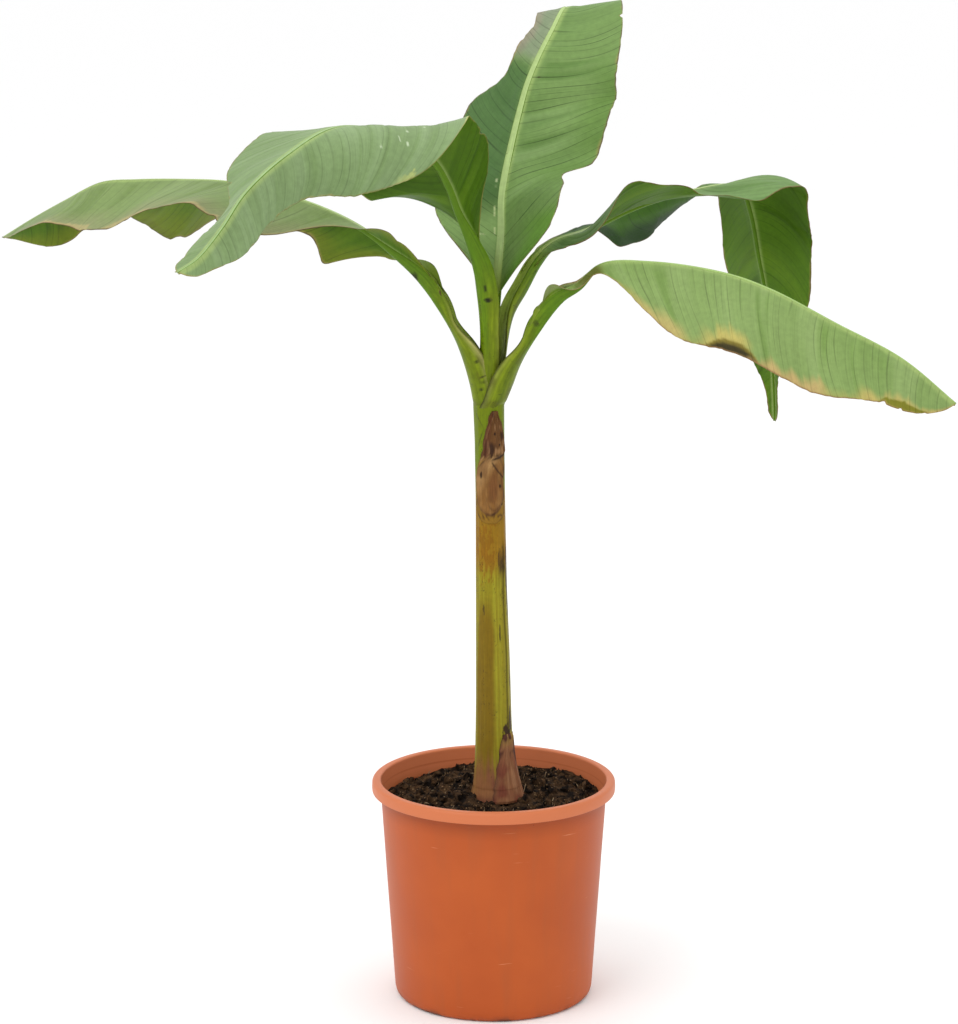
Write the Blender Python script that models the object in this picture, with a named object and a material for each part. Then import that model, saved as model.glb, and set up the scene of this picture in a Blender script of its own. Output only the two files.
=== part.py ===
"""A young banana plant in a nursery pot.

The false stem of packed leaf sheaths stands in compost in a turned plastic pot.  Five leaves leave its
top: each is a channelled stalk that runs on as the rib of a thin blade, folded along that rib.
Metres, +Z up, with the origin at the middle of the pot's flat underside.
"""
import math

import bmesh
import bpy
import numpy as np

for old in list(bpy.data.objects):
    bpy.data.objects.remove(old)

GAP = 0.0003                 # clearance between solids that touch

# Pot: a 15 litre nursery container, 300 mm across its rim.
RIM_RADIUS = 0.150
RIM_HEIGHT = 0.0145
RIM_STEP = 0.0105            # how far the rim band stands out from the wall
RIM_CHAMFER = 0.001          # the band's lower edge
LIP_ROUND = 0.0032           # the lip's outer edge
INNER_LIP_ROUND = 0.002
POT_HEIGHT = 0.2745
BASE_RADIUS = 0.122
WALL = 0.003
FLOOR = 0.004
FLOOR_FILLET = 0.002
FOOT_ROUND = 0.008
POT_SIDES = 64

# Compost, filled to a finger's width below the rim.
COMPOST_TOP = 0.250
COMPOST_INSET = 0.0004       # further clearance to the wall, for the two pieces' unlike numbers of sides
COMPOST_FOOT = FLOOR + FLOOR_FILLET + 0.0006
COMPOST_SIDES = 48

# False stem: height above the floor, axis x, axis y, radius.
STEM = [
    (COMPOST_TOP + GAP, 0.004, 0.000, 0.0335),
    (0.268, 0.003, 0.000, 0.0285),
    (0.300, 0.001, 0.000, 0.0245),
    (0.350, 0.000, 0.000, 0.0225),
    (0.430, -0.001, 0.000, 0.0210),
    (0.520, -0.003, 0.000, 0.0195),
    (0.620, -0.004, 0.000, 0.0187),
    (0.700, -0.005, 0.000, 0.0187),
    (0.745, -0.006, 0.000, 0.0195),
]
STEM_SIDES = 28

# Sheaths of lost leaves: foot and top height, middle and half width in degrees round the stem, thickness.
SHEATH_EDGE = 0.35           # thickness of the side edges, as a share
SHEATH_NARROWING = 0.45      # width lost towards the top
SHEATH_THINNING = 0.40       # thickness lost towards the top
SHEATHS = {
    "dried_sheath": dict(foot=0.600, top=0.738, middle=-88, half=58, thick=0.0022),
    "foot_sheath": dict(foot=COMPOST_TOP + GAP, top=0.335, middle=-38, half=62, thick=0.0026),
}

# Leaf stalks
STALK_HALF_WIDTH = 0.0082
STALK_KEEL = 0.0068          # the round back below the middle line
STALK_EDGE = 0.0048          # the two edges above it
STALK_CHANNEL = 0.0046       # how deep the channel lies between the edges
STALK_LIP = 0.0008           # thickness of the two edges
CHANNEL_WIDTH = 0.82         # width of the channel, as a share
STALK_TAPER = 0.12           # width lost from foot to blade
STALK_RING = 7               # points across the channel, and again across the back
STALK_STATIONS = 15
ROOT_SHRINK = 0.94           # keeps the packed stalk feet apart
CORE = 0.08                  # the least distance of a foot from the stem's axis, as a share of its radius
STRAIGHT_ROOT = 0.030        # length over which a foot turns from upright to the stalk's own line

# Blades
BLADE_THICK = 0.006
BLADE_GAP = 0.0004           # from the stalk's end to the blade, and between the two pieces of a bent blade
RIB_DEPTH = 0.006            # the rib's extra depth below the blade where the blade starts
ACROSS = [0.0, 0.07, 0.22, 0.42, 0.62, 0.82, 1.0]
BLADE_STATIONS = 34
RIB_SAMPLES = 400            # fine samples of a rib, between which the stations are read
WING = 0.10                  # share of the full width that the blade starts with
TIP_WIDTH = 0.03             # share of the full width that it ends with
RIB_BLEND = (0.008, 0.033)   # distances from the rib over which the two halves take their own slopes
SWEEP = 0.18                 # how far forward of the rib the margin lies, as a share of the half width

# Each leaf: the compass heading of its stalk in degrees from +X, the greatest half width of its blade,
# the share of the length that is stalk, and the shape of the outline.  A station is a point of the rib,
# then fold and curl of the left half and of the right half in degrees: the fold is the angle at the rib,
# up from level, and the curl is the further turn from there to the margin.  Its last two values are the
# widths of the left and right halves there, as shares of the even outline's.
LEAVES = {
    "upright": dict(
        heading=87, half_width=0.115, stalk=0.21, full=0.20, tip=0.50, wing_to=0.0,
        sector=(43, 26), spread=(0.09, 0.15), split=None,
        stations=[
            (-0.0055, 0.012, 0.7453, 60, 0, 60, 0, 0.75, 0.92),
            (-0.003, 0.012, 0.834, 60, 0, 60, 0, 0.75, 0.92),
            (0.004, 0.014, 0.900, 40, 0, 60, 0, 0.72, 0.92),
            (0.008, 0.018, 0.943, 20, 0, 52, 0, 0.70, 0.92),
            (0.009, 0.025, 0.990, 15, 0, 44, 0, 0.72, 0.88),
            (0.012, 0.030, 1.011, -5, 0, 30, 0, 0.75, 0.70),
            (0.017, 0.036, 1.035, -30, 0, 5, -5, 0.75, 0.88),
            (0.029, 0.050, 1.085, -42, 0, 0, -5, 0.76, 0.92),
            (0.040, 0.062, 1.123, -30, -15, -3, -5, 0.38, 0.93),
            (0.054, 0.076, 1.155, -15, -10, 0, 0, 0.30, 0.86),
            (0.070, 0.096, 1.184, -12, -10, 2, 0, 0.28, 0.84),
            (0.085, 0.130, 1.208, -14, -10, 8, 0, 0.45, 0.86),
            (0.096, 0.170, 1.200, -20, 0, 8, 0, 0.75, 0.92),
            (0.103, 0.200, 1.165, -30, 0, 0, 0, 0.75, 0.92),
        ]),
    "left_front": dict(
        heading=217, half_width=0.115, stalk=0.22, full=0.30, tip=0.38, wing_to=0.05,
        sector=(62, 22), spread=(0.06, 0.12), split=0.42,
        stations=[
            (-0.0156, -0.0072, 0.7453, 60, 0, 60, 0, 0.87, 0.95),
            (-0.0095, -0.013, 0.830, 60, 0, 60, 0, 0.87, 0.95),
            (-0.014, -0.025, 0.900, 60, 0, 60, 0, 0.95, 0.80),
            (-0.027, -0.035, 0.943, 85, 0, 30, 0, 0.95, 0.35),
            (-0.042, -0.050, 0.982, 90, 0, -10, 0, 0.90, 0.86),
            (-0.053, -0.065, 1.014, 85, -10, -45, 0, 0.78, 1.08),
            (-0.071, -0.085, 1.047, 82, -40, -28, 0, 0.60, 1.00),
            (-0.109, -0.120, 1.079, 40, -122, -15, 0, 1.00, 1.00),
            (-0.180, -0.185, 1.095, 0, -110, -8, 0, 0.92, 1.02),
            (-0.232, -0.240, 1.070, -50, -60, -8, 0, 0.55, 0.94),
            (-0.276, -0.290, 1.033, -70, -30, -20, 0, 0.60, 0.55),
            (-0.300, -0.325, 0.998, -70, -10, -10, 0, 0.70, 0.60),
            (-0.325, -0.348, 0.968, -50, -10, -5, 0, 0.72, 1.00),
            (-0.346, -0.362, 0.955, -30, -10, -5, 0, 1.20, 1.60),
        ]),
    "far_left": dict(
        heading=173, half_width=0.112, stalk=0.215, full=0.35, tip=0.62, wing_to=0.1,
        sector=(22, 43), spread=(0.0, 0.05), split=None,
        stations=[
            (-0.0185, 0.0015, 0.7453, 60, 0, 60, 0, 1.00, 1.00),
            (-0.0245, 0.003, 0.775, 60, 0, 60, 0, 1.00, 1.00),
            (-0.038, 0.006, 0.817, 60, 0, 60, 0, 1.00, 1.00),
            (-0.061, 0.012, 0.863, 60, 0, 60, 0, 1.00, 1.30),
            (-0.085, 0.018, 0.894, 60, 0, 50, 0, 1.20, 2.00),
            (-0.119, 0.022, 0.924, 55, 0, -40, 0, 2.00, 1.70),
            (-0.159, 0.028, 0.954, 5, 0, -68, 0, 0.55, 1.35),
            (-0.202, 0.035, 0.975, -25, 0, -62, 0, 0.60, 0.50),
            (-0.262, 0.040, 0.995, -20, 0, -40, 0, 1.00, 0.80),
            (-0.320, 0.050, 1.006, -8, 0, -30, 0, 1.00, 1.00),
            (-0.376, 0.055, 1.008, -12, 0, -42, 0, 1.00, 1.15),
            (-0.431, 0.060, 1.007, -25, 0, -36, 0, 1.00, 0.90),
            (-0.475, 0.065, 1.003, -25, 0, -30, 0, 1.00, 0.60),
            (-0.519, 0.070, 0.981, -10, 0, -40, 0, 0.95, 0.75),
            (-0.560, 0.075, 0.958, -5, 0, -45, 0, 1.00, 1.00),
            (-0.597, 0.080, 0.935, -5, 0, -30, 0, 1.00, 1.00),
        ]),
    "right_back": dict(
        heading=35, half_width=0.112, stalk=0.2, full=0.22, tip=0.60, wing_to=0.02,
        sector=(26, 26), spread=(0.05, 0.11), split=0.5,
        stations=[
            (0.0038, 0.0069, 0.7453, 60, 0, 60, 0, 1.00, 0.94),
            (0.010, 0.010, 0.800, 60, 0, 60, 0, 1.00, 0.94),
            (0.0185, 0.017, 0.853, 60, 0, 60, 0, 0.80, 0.94),
            (0.0345, 0.030, 0.882, 50, 0, 50, 0, 0.50, 0.94),
            (0.053, 0.052, 0.910, 25, 0, 20, 0, 0.60, 0.90),
            (0.076, 0.080, 0.929, 5, 0, -18, 0, 0.35, 0.36),
            (0.118, 0.105, 0.943, -5, 0, 35, 0, 0.40, 0.82),
            (0.162, 0.130, 0.961, -38, 0, 25, 0, 0.90, 0.84),
            (0.187, 0.145, 0.969, -40, 0, 14, 0, 1.00, 0.90),
            (0.220, 0.160, 0.977, -35, 0, 6, 0, 1.00, 0.90),
            (0.254, 0.180, 0.982, -28, 0, -4, 0, 0.96, 0.92),
            (0.291, 0.205, 0.985, -15, 0, 25, -45, 0.74, 0.92),
            (0.311, 0.225, 0.979, 0, 0, 38, -65, 0.50, 0.93),
            (0.326, 0.240, 0.942, 10, 0, 25, -40, 0.72, 0.93),
            (0.337, 0.245, 0.887, 12, 0, 5, -10, 0.92, 0.90),
            (0.346, 0.250, 0.845, 15, 0, -8, 0, 1.00, 0.90),
            (0.355, 0.255, 0.780, 15, 0, -20, 0, 1.00, 0.80),
            (0.360, 0.255, 0.715, 10, 0, -20, 0, 0.40, 0.30),
            (0.362, 0.255, 0.675, 10, 0, -20, 0, 0.90, 0.90),
        ]),
    "right_front": dict(
        heading=-18, half_width=0.108, stalk=0.19, full=0.42, tip=0.66, wing_to=0.14,
        sector=(26, 62), spread=(0.0, 0.06), split=None,
        stations=[
            (0.0057, -0.004, 0.7453, 60, 0, 60, 0, 1.00, 1.00),
            (0.0145, -0.011, 0.770, 60, 0, 60, 0, 1.00, 1.00),
            (0.0265, -0.022, 0.803, 60, 0, 60, 0, 1.00, 1.00),
            (0.055, -0.036, 0.853, 60, 0, 60, 0, 0.40, 0.40),
            (0.078, -0.045, 0.880, 60, 0, 60, 0, 1.20, 2.00),
            (0.099, -0.055, 0.895, 30, 0, -15, 0, 0.80, 1.20),
            (0.124, -0.066, 0.922, -20, 0, -40, 0, 0.80, 0.80),
            (0.183, -0.090, 0.928, -40, 0, -40, -20, 1.00, 0.92),
            (0.266, -0.125, 0.920, -50, 0, -35, -20, 1.00, 0.96),
            (0.318, -0.145, 0.904, -55, 0, -30, -20, 1.00, 0.97),
            (0.392, -0.170, 0.868, -50, 0, -35, -20, 1.00, 0.90),
            (0.466, -0.195, 0.831, -50, 0, -30, -20, 1.00, 0.85),
            (0.526, -0.215, 0.783, -50, 0, -30, -20, 1.00, 1.15),
        ]),
}
UP = np.array([0.0, 0.0, 1.0])


def material(name, colour, roughness):
    """A plain Principled material."""
    made = bpy.data.materials.new(name)
    made.use_nodes = True
    shader = made.node_tree.nodes["Principled BSDF"]
    shader.inputs["Base Color"].default_value = (*colour, 1.0)
    shader.inputs["Roughness"].default_value = roughness
    shader.inputs["Metallic"].default_value = 0.0
    return made


TERRACOTTA_PLASTIC = material("terracotta_plastic", (0.56, 0.15, 0.045), 0.45)
COMPOST = material("compost", (0.03, 0.018, 0.012), 0.95)
STEM_SHEATH = material("stem_sheath", (0.30, 0.28, 0.05), 0.5)
DRY_SHEATH = material("dry_sheath", (0.24, 0.12, 0.05), 0.8)
LEAF_STALK = material("leaf_stalk", (0.22, 0.28, 0.04), 0.5)
LEAF_BLADE = material("leaf_blade", (0.17, 0.34, 0.10), 0.45)


def add_object(name, mesh_data, look):
    """Puts a finished bmesh into the scene as one object."""
    mesh = bpy.data.meshes.new(name)
    bmesh.ops.recalc_face_normals(mesh_data, faces=mesh_data.faces)
    mesh_data.to_mesh(mesh)
    mesh_data.free()
    mesh.shade_smooth()
    mesh.set_sharp_from_angle(angle=math.radians(40))
    mesh.materials.append(look)
    made = bpy.data.objects.new(name, mesh)
    bpy.context.scene.collection.objects.link(made)
    return made


def turned(name, profile, sides, look):
    """Spins a closed outline of (radius, height) points about the pot's axis."""
    work = bmesh.new()
    verts = [work.verts.new((radius, 0.0, height)) for radius, height in profile]
    edges = [work.edges.new((a, b)) for a, b in zip(verts, verts[1:])]
    if profile[0][0] > 0:
        edges.append(work.edges.new((verts[-1], verts[0])))
    bmesh.ops.spin(work, geom=verts + edges, cent=(0, 0, 0), axis=(0, 0, 1), steps=sides,
                   angle=2 * math.pi, use_merge=False, use_duplicate=False)
    bmesh.ops.remove_doubles(work, verts=work.verts, dist=0.00005)
    return add_object(name, work, look)


def ring_loft(name, rings, look):
    """Joins rings of points into one tube and closes its two flat ends."""
    work = bmesh.new()
    loops = [[work.verts.new(point) for point in ring] for ring in rings]
    for low, high in zip(loops, loops[1:]):
        for k in range(len(low)):
            nxt = (k + 1) % len(low)
            work.faces.new((low[k], low[nxt], high[nxt], high[k]))
    work.faces.new(loops[0])
    work.faces.new(loops[-1])
    return add_object(name, work, look)


def strip_loft(name, rows, look):
    """Joins stations, each an upper row and a lower row of points, into one closed solid."""
    work = bmesh.new()
    grid = [[[work.verts.new(point) for point in edge] for edge in row] for row in rows]
    across = range(len(grid[0][0]) - 1)
    for (up_a, low_a), (up_b, low_b) in zip(grid, grid[1:]):
        for k in across:
            work.faces.new((up_a[k], up_a[k + 1], up_b[k + 1], up_b[k]))
            work.faces.new((low_a[k], low_b[k], low_b[k + 1], low_a[k + 1]))
        for k in (0, -1):
            work.faces.new((up_a[k], up_b[k], low_b[k], low_a[k]))
    for upper, lower in (grid[0], grid[-1]):
        for k in across:
            work.faces.new((upper[k], upper[k + 1], lower[k + 1], lower[k]))
    return add_object(name, work, look)


def clamp(value):
    return min(max(value, 0.0), 1.0)


def unit(vectors):
    return vectors / np.linalg.norm(vectors, axis=-1, keepdims=True)


# ---------------------------------------------------------------- pot, compost and stem

def arc(cx, cz, radius, start, end, steps):
    """Points of an arc in the (radius, height) plane, in degrees."""
    turns = [math.radians(start + (end - start) * k / steps) for k in range(steps + 1)]
    return [(cx + radius * math.cos(t), cz + radius * math.sin(t)) for t in turns]


def wall_radius(height):
    """Outer radius of the tapered wall at a height."""
    share = height / (POT_HEIGHT - RIM_HEIGHT)
    return BASE_RADIUS + (RIM_RADIUS - RIM_STEP - BASE_RADIUS) * share


def make_pot():
    """The turned pot: up the outside from the middle of the floor, over the lip and down the inside."""
    band_foot = POT_HEIGHT - RIM_HEIGHT
    wall_top = wall_radius(band_foot)
    profile = [(0.0, 0.0)]
    profile += arc(BASE_RADIUS - FOOT_ROUND, FOOT_ROUND, FOOT_ROUND, -90, 0, 4)
    profile += [(wall_top, band_foot)]
    profile += [(RIM_RADIUS - RIM_CHAMFER, band_foot), (RIM_RADIUS, band_foot + 2 * RIM_CHAMFER)]
    profile += arc(RIM_RADIUS - LIP_ROUND, POT_HEIGHT - LIP_ROUND, LIP_ROUND, 0, 90, 4)
    profile += arc(wall_top + RIM_CHAMFER, POT_HEIGHT - INNER_LIP_ROUND, INNER_LIP_ROUND, 90, 180, 3)
    profile += [(wall_top - WALL, band_foot - WALL)]
    profile += [(BASE_RADIUS - WALL, FLOOR + FLOOR_FILLET), (0.0, FLOOR)]
    return turned("pot", profile, POT_SIDES, TERRACOTTA_PLASTIC)


def make_compost():
    """The compost that fills the pot."""
    inset = WALL + GAP + COMPOST_INSET
    foot_radius = wall_radius(COMPOST_FOOT) - inset - GAP
    top_radius = wall_radius(COMPOST_TOP) - inset
    profile = [(0.0, COMPOST_FOOT), (foot_radius, COMPOST_FOOT)]
    profile += [(top_radius, COMPOST_TOP), (0.0, COMPOST_TOP)]
    return turned("compost", profile, COMPOST_SIDES, COMPOST)


def stem_at(height):
    """Axis x, axis y and radius of the false stem at a height."""
    heights = [row[0] for row in STEM]
    return [float(np.interp(height, heights, [row[k] for row in STEM])) for k in (1, 2, 3)]


def make_stem():
    """The false stem, a round taper with a flared foot."""
    turns = np.linspace(0, 2 * math.pi, STEM_SIDES, endpoint=False)
    rings = [[(x + r * math.cos(t), y + r * math.sin(t), z) for t in turns] for z, x, y, r in STEM]
    return ring_loft("false_stem", rings, STEM_SHEATH)


def make_sheath(name, foot, top, middle, half, thick):
    """A curved plate that clasps the stem, thinner and narrower towards its top."""
    rows = []
    for share in np.linspace(0, 1, 7):
        z = foot + (top - foot) * share
        x, y, radius = stem_at(z)
        spread = half * (1 - SHEATH_NARROWING * share ** 2)
        turns = np.radians(np.linspace(middle - spread, middle + spread, 9))
        inner = radius / math.cos(math.pi / STEM_SIDES) + 1.5 * GAP
        rim = np.sin(np.linspace(0, math.pi, 9)) ** 0.5
        outer = inner + thick * (SHEATH_EDGE + (1 - SHEATH_EDGE) * rim) * (1 - SHEATH_THINNING * share)
        rows.append((
            [(x + r * math.cos(t), y + r * math.sin(t), z) for r, t in zip(outer, turns)],
            [(x + inner * math.cos(t), y + inner * math.sin(t), z) for t in turns]))
    return strip_loft(name, rows, DRY_SHEATH)


# ---------------------------------------------------------------- leaves

def smooth_line(stations, count):
    """Samples a smooth curve through the stations, evenly spaced along the rib, and gives its length."""
    rows = np.array(stations, float)
    rows = np.vstack([2 * rows[0] - rows[1], rows, 2 * rows[-1] - rows[-2]])
    knots = np.concatenate([[0], np.cumsum(np.linalg.norm(np.diff(rows[:, :3], axis=0), axis=1) ** 0.5)])
    pieces = []
    for i in range(1, len(rows) - 2):
        p0, p1, p2, p3 = rows[i - 1:i + 3]
        t0, t1, t2, t3 = knots[i - 1:i + 3]
        t = np.linspace(t1, t2, 24, endpoint=False)[:, None]
        a1 = ((t1 - t) * p0 + (t - t0) * p1) / (t1 - t0)
        a2 = ((t2 - t) * p1 + (t - t1) * p2) / (t2 - t1)
        a3 = ((t3 - t) * p2 + (t - t2) * p3) / (t3 - t2)
        b1 = ((t2 - t) * a1 + (t - t0) * a2) / (t2 - t0)
        b2 = ((t3 - t) * a2 + (t - t1) * a3) / (t3 - t1)
        pieces.append(((t2 - t) * b1 + (t - t1) * b2) / (t2 - t1))
    line = np.vstack(pieces + [rows[-2:-1]])
    walked = np.concatenate([[0], np.cumsum(np.linalg.norm(np.diff(line[:, :3], axis=0), axis=1))])
    even = np.linspace(0, walked[-1], count)
    return np.stack([np.interp(even, walked, line[:, k]) for k in range(9)], axis=1), walked[-1]


def rib_frames(line, heading):
    """Along, left and upper-side directions at each sample of the rib."""
    turn = math.radians(heading)
    side = np.array([-math.sin(turn), math.cos(turn), 0.0])
    along = unit(np.gradient(line[:, :3], axis=0))
    left = unit(side - (along @ side)[:, None] * along)
    return along, left, np.cross(along, left)


def blade_width(share, leaf):
    """Half width of the blade at a share of its length: a narrow wing, a quick rise and a rounded tip."""
    risen = clamp((share - leaf["wing_to"]) / (leaf["full"] - leaf["wing_to"]))
    rise = math.sin(math.pi / 2 * risen) ** 1.3
    fallen = clamp((share - leaf["tip"]) / (1 - leaf["tip"]))
    width = (WING + (1 - WING) * rise) * (1 - fallen ** 2.2) ** 0.8
    return max(width, TIP_WIDTH) * leaf["half_width"]


def half_section(width, fold, curl):
    """Offsets across and up, and the slope angle, from the rib to the margin."""
    across = np.array(ACROSS)
    slope = np.radians(fold) + np.radians(curl) * across
    middle = (slope[1:] + slope[:-1]) / 2
    step = np.diff(across) * width
    out = np.concatenate([[0], np.cumsum(np.cos(middle) * step)])
    rise = np.concatenate([[0], np.cumsum(np.sin(middle) * step)])
    return out, rise, slope


def blade_row(point, along, left, upper, share, leaf, bends):
    """Upper and lower points of the blade at one station, from the left margin to the right."""
    width = blade_width(share, leaf)
    sides = []
    for sign, factor, fold, curl in ((1, bends[4], *bends[:2]), (-1, bends[5], *bends[2:4])):
        out, rise, slope = half_section(width * factor, fold, curl)
        ahead = SWEEP * width * factor * np.array(ACROSS)
        surface = point + sign * out[:, None] * left + rise[:, None] * upper + ahead[:, None] * along
        normal = -sign * np.sin(slope)[:, None] * left + np.cos(slope)[:, None] * upper
        sides.append((surface, normal, np.hypot(out, rise)))
    crest = unit(sides[0][1][0] + sides[1][1][0])
    upper_row, lower_row = [], []
    for index, (surface, normal, reach) in enumerate(sides):
        own = np.clip((reach - RIB_BLEND[0]) / (RIB_BLEND[1] - RIB_BLEND[0]), 0, 1)[:, None]
        offset = unit(crest * (1 - own) + normal * own)
        depth = BLADE_THICK / 2 / np.clip(np.sum(offset * normal, axis=1), 0.5, 1)[:, None]
        rib = np.zeros_like(depth)
        rib[0] = RIB_DEPTH * (1 - share)
        above = surface + offset * depth
        below = surface - offset * (depth + rib)
        if index == 0:
            upper_row, lower_row = list(above[::-1]), list(below[::-1])
        else:
            upper_row += list(above[1:])
            lower_row += list(below[1:])
    return np.array(upper_row), np.array(lower_row)


def stalk_row(frame, share, leaf, walked, axis_gap):
    """Channel and back of the stalk: a slice of the round stem at the foot, a channelled crescent above."""
    point, _, left, upper = frame
    turns = np.radians(np.linspace(90, -90, STALK_RING))
    wide = STALK_HALF_WIDTH * (1 - STALK_TAPER * share) * np.sin(turns)
    back = np.stack([wide, STALK_EDGE * np.sin(turns) ** 2 - STALK_KEEL * np.cos(turns) ** 0.8], 1)
    channel_level = STALK_EDGE + STALK_LIP - STALK_CHANNEL * np.cos(turns)
    channel = np.stack([wide * CHANNEL_WIDTH, channel_level], 1)

    left_angle, right_angle = np.radians(leaf["sector"])
    radius = STEM[-1][3]
    spokes = np.linspace(left_angle, -right_angle, STALK_RING)
    foot_back = radius * np.stack([np.sin(spokes), -np.cos(spokes)], 1)
    half = STALK_RING // 2
    ends = np.where(np.arange(STALK_RING) <= half, spokes[0], spokes[-1])
    ends[half] = (left_angle - right_angle) / 2
    inward = np.abs(np.linspace(-1, 1, STALK_RING)) * (1 - CORE) + CORE
    foot_front = radius * inward[:, None] * np.stack([np.sin(ends), -np.cos(ends)], 1)
    centre = (foot_back.mean(axis=0) + foot_front.mean(axis=0)) / 2

    start, end = leaf["spread"]
    free = clamp((walked - start) / (end - start))
    free = free * free * (3 - 2 * free)
    placed = []
    for foot, open_shape in ((foot_front, channel), (foot_back, back)):
        foot = centre + (foot - centre) * ROOT_SHRINK + np.array([0.0, axis_gap])
        flat = foot * (1 - free) + open_shape * free
        placed.append(point + flat[:, :1] * left + flat[:, 1:] * upper)
    return placed


def make_leaf(name, leaf):
    """The stalk and the blade of one leaf; a blade that arches over is two pieces that meet at the bend."""
    fine, length = smooth_line(leaf["stations"], RIB_SAMPLES)
    frames = np.hstack([fine, *rib_frames(fine, leaf["heading"])])
    shares = np.linspace(0, 1, RIB_SAMPLES)
    stem_x, stem_y, _ = stem_at(leaf["stations"][0][2])
    axis_gap = math.hypot(leaf["stations"][0][0] - stem_x, leaf["stations"][0][1] - stem_y)
    turn = math.radians(leaf["heading"])

    def at(share):
        row = np.array([np.interp(share, shares, column) for column in frames.T])
        return row[:3], unit(row[9:12]), unit(row[12:15]), unit(row[15:18]), row[3:9]

    def stalk_rows():
        made = []
        for share in np.linspace(0, leaf["stalk"], STALK_STATIONS):
            point, tangent, _, _, _ = at(share)
            walked = share * length
            mix = clamp(walked / STRAIGHT_ROOT)
            tangent = unit(UP * (1 - mix) + tangent * mix)
            side = np.array([-math.sin(turn), math.cos(turn), 0.0])
            side = unit(side - (tangent @ side) * tangent)
            frame = (point, tangent, side, np.cross(tangent, side))
            made.append(stalk_row(frame, share / leaf["stalk"], leaf, walked, axis_gap))
        return made

    def blade_rows(start, end, count):
        made = []
        for share in np.linspace(start, end, count):
            point, tangent, side, top, bends = at(leaf["stalk"] + share * (1 - leaf["stalk"]))
            made.append(blade_row(point, tangent, side, top, share, leaf, bends))
        return made

    def set_forward(row, share):
        """Moves a first row a hair along the rib, clear of the solid that it meets."""
        ahead = at(leaf["stalk"] + share * (1 - leaf["stalk"]))[1] * BLADE_GAP
        return row[0] + ahead, row[1] + ahead

    strip_loft(name + "_leaf_stalk", stalk_rows(), LEAF_STALK)

    split = leaf["split"] or 1
    inner = blade_rows(0, split, round(BLADE_STATIONS * split))
    inner[0] = set_forward(inner[0], 0)
    if split == 1:
        strip_loft(name + "_leaf_blade", inner, LEAF_BLADE)
        return
    outer = blade_rows(split, 1, round(BLADE_STATIONS * (1 - split)) + 2)
    outer[0] = set_forward(inner[-1], split)
    strip_loft(name + "_leaf_blade_near", inner, LEAF_BLADE)
    strip_loft(name + "_leaf_blade_far", outer, LEAF_BLADE)


make_pot()
make_compost()
make_stem()
for sheath_name, sheath in SHEATHS.items():
    make_sheath(sheath_name, **sheath)
for leaf_name, leaf_shape in LEAVES.items():
    make_leaf(leaf_name, leaf_shape)
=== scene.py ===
"""A young banana plant in a nursery pot: the looks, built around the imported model.

Metres, +Z up, the origin at the middle of the pot's flat underside, the front towards -Y.
"""

import math

import bmesh
import bpy
import numpy as np
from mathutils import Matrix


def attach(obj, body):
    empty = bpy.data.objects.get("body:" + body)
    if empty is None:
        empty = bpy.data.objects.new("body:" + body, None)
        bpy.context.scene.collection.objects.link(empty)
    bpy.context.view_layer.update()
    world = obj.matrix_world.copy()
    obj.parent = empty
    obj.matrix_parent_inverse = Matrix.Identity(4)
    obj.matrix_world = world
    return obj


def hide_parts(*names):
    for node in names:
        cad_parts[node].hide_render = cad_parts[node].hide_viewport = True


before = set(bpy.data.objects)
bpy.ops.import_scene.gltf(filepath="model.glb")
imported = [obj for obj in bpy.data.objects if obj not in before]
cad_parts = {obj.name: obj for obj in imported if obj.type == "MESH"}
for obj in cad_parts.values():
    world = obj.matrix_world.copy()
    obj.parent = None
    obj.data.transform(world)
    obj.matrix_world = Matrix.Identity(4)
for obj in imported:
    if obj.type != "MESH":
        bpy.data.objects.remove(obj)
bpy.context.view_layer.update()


# ---------------------------------------------------------------------------------------------- pot
# The pot is an injection-moulded polypropylene nursery pot in terracotta orange, all one piece: a
# tapered wall with a rounded foot and a rim band that stiffens it.  It is neither glazed nor coated,
# so it has a soft satin, a moulding haze, and the specks, scuffs and splashes of the nursery.

RIM_RADIUS = 0.150
RIM_HEIGHT = 0.0145
RIM_STEP = 0.0105
POT_HEIGHT = 0.2745
BAND_FOOT = POT_HEIGHT - RIM_HEIGHT
BASE_RADIUS = 0.122
WALL = 0.003
FLOOR = 0.004
FOOT_ROUND = 0.008
ROOT_ROUND = 0.0030
BAND_ROUND = 0.0012
LIP_ROUND = 0.0042
LIP_INSIDE = 0.0025
POT_TURNS = 288
HAZE_SCALE = 11.0


def linear(hex_code):
    """The linear colour of an sRGB hex value."""
    values = np.array([int(hex_code[k:k + 2], 16) / 255 for k in (1, 3, 5)])
    return np.where(values <= 0.04045, values / 12.92, ((values + 0.055) / 1.055) ** 2.4)


def add(tree, kind, inputs=None, **settings):
    """Adds a node: its settings, then its inputs, each a value or a link from (node, output)."""
    made = tree.nodes.new(kind)
    for name, value in settings.items():
        setattr(made, name, value)
    for key, value in (inputs or {}).items():
        if isinstance(value, tuple) and isinstance(value[0], bpy.types.Node):
            tree.links.new(value[0].outputs[value[1]], made.inputs[key])
        else:
            made.inputs[key].default_value = value
    return made


def put(name, data):
    """An object of the scene that holds a mesh, a lamp or a camera."""
    made = bpy.data.objects.new(name, data)
    bpy.context.scene.collection.objects.link(made)
    return made


def face_outwards(mesh):
    """Turns the faces of a closed mesh outwards."""
    work = bmesh.new()
    work.from_mesh(mesh)
    bmesh.ops.recalc_face_normals(work, faces=work.faces)
    work.to_mesh(mesh)
    work.free()


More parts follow.
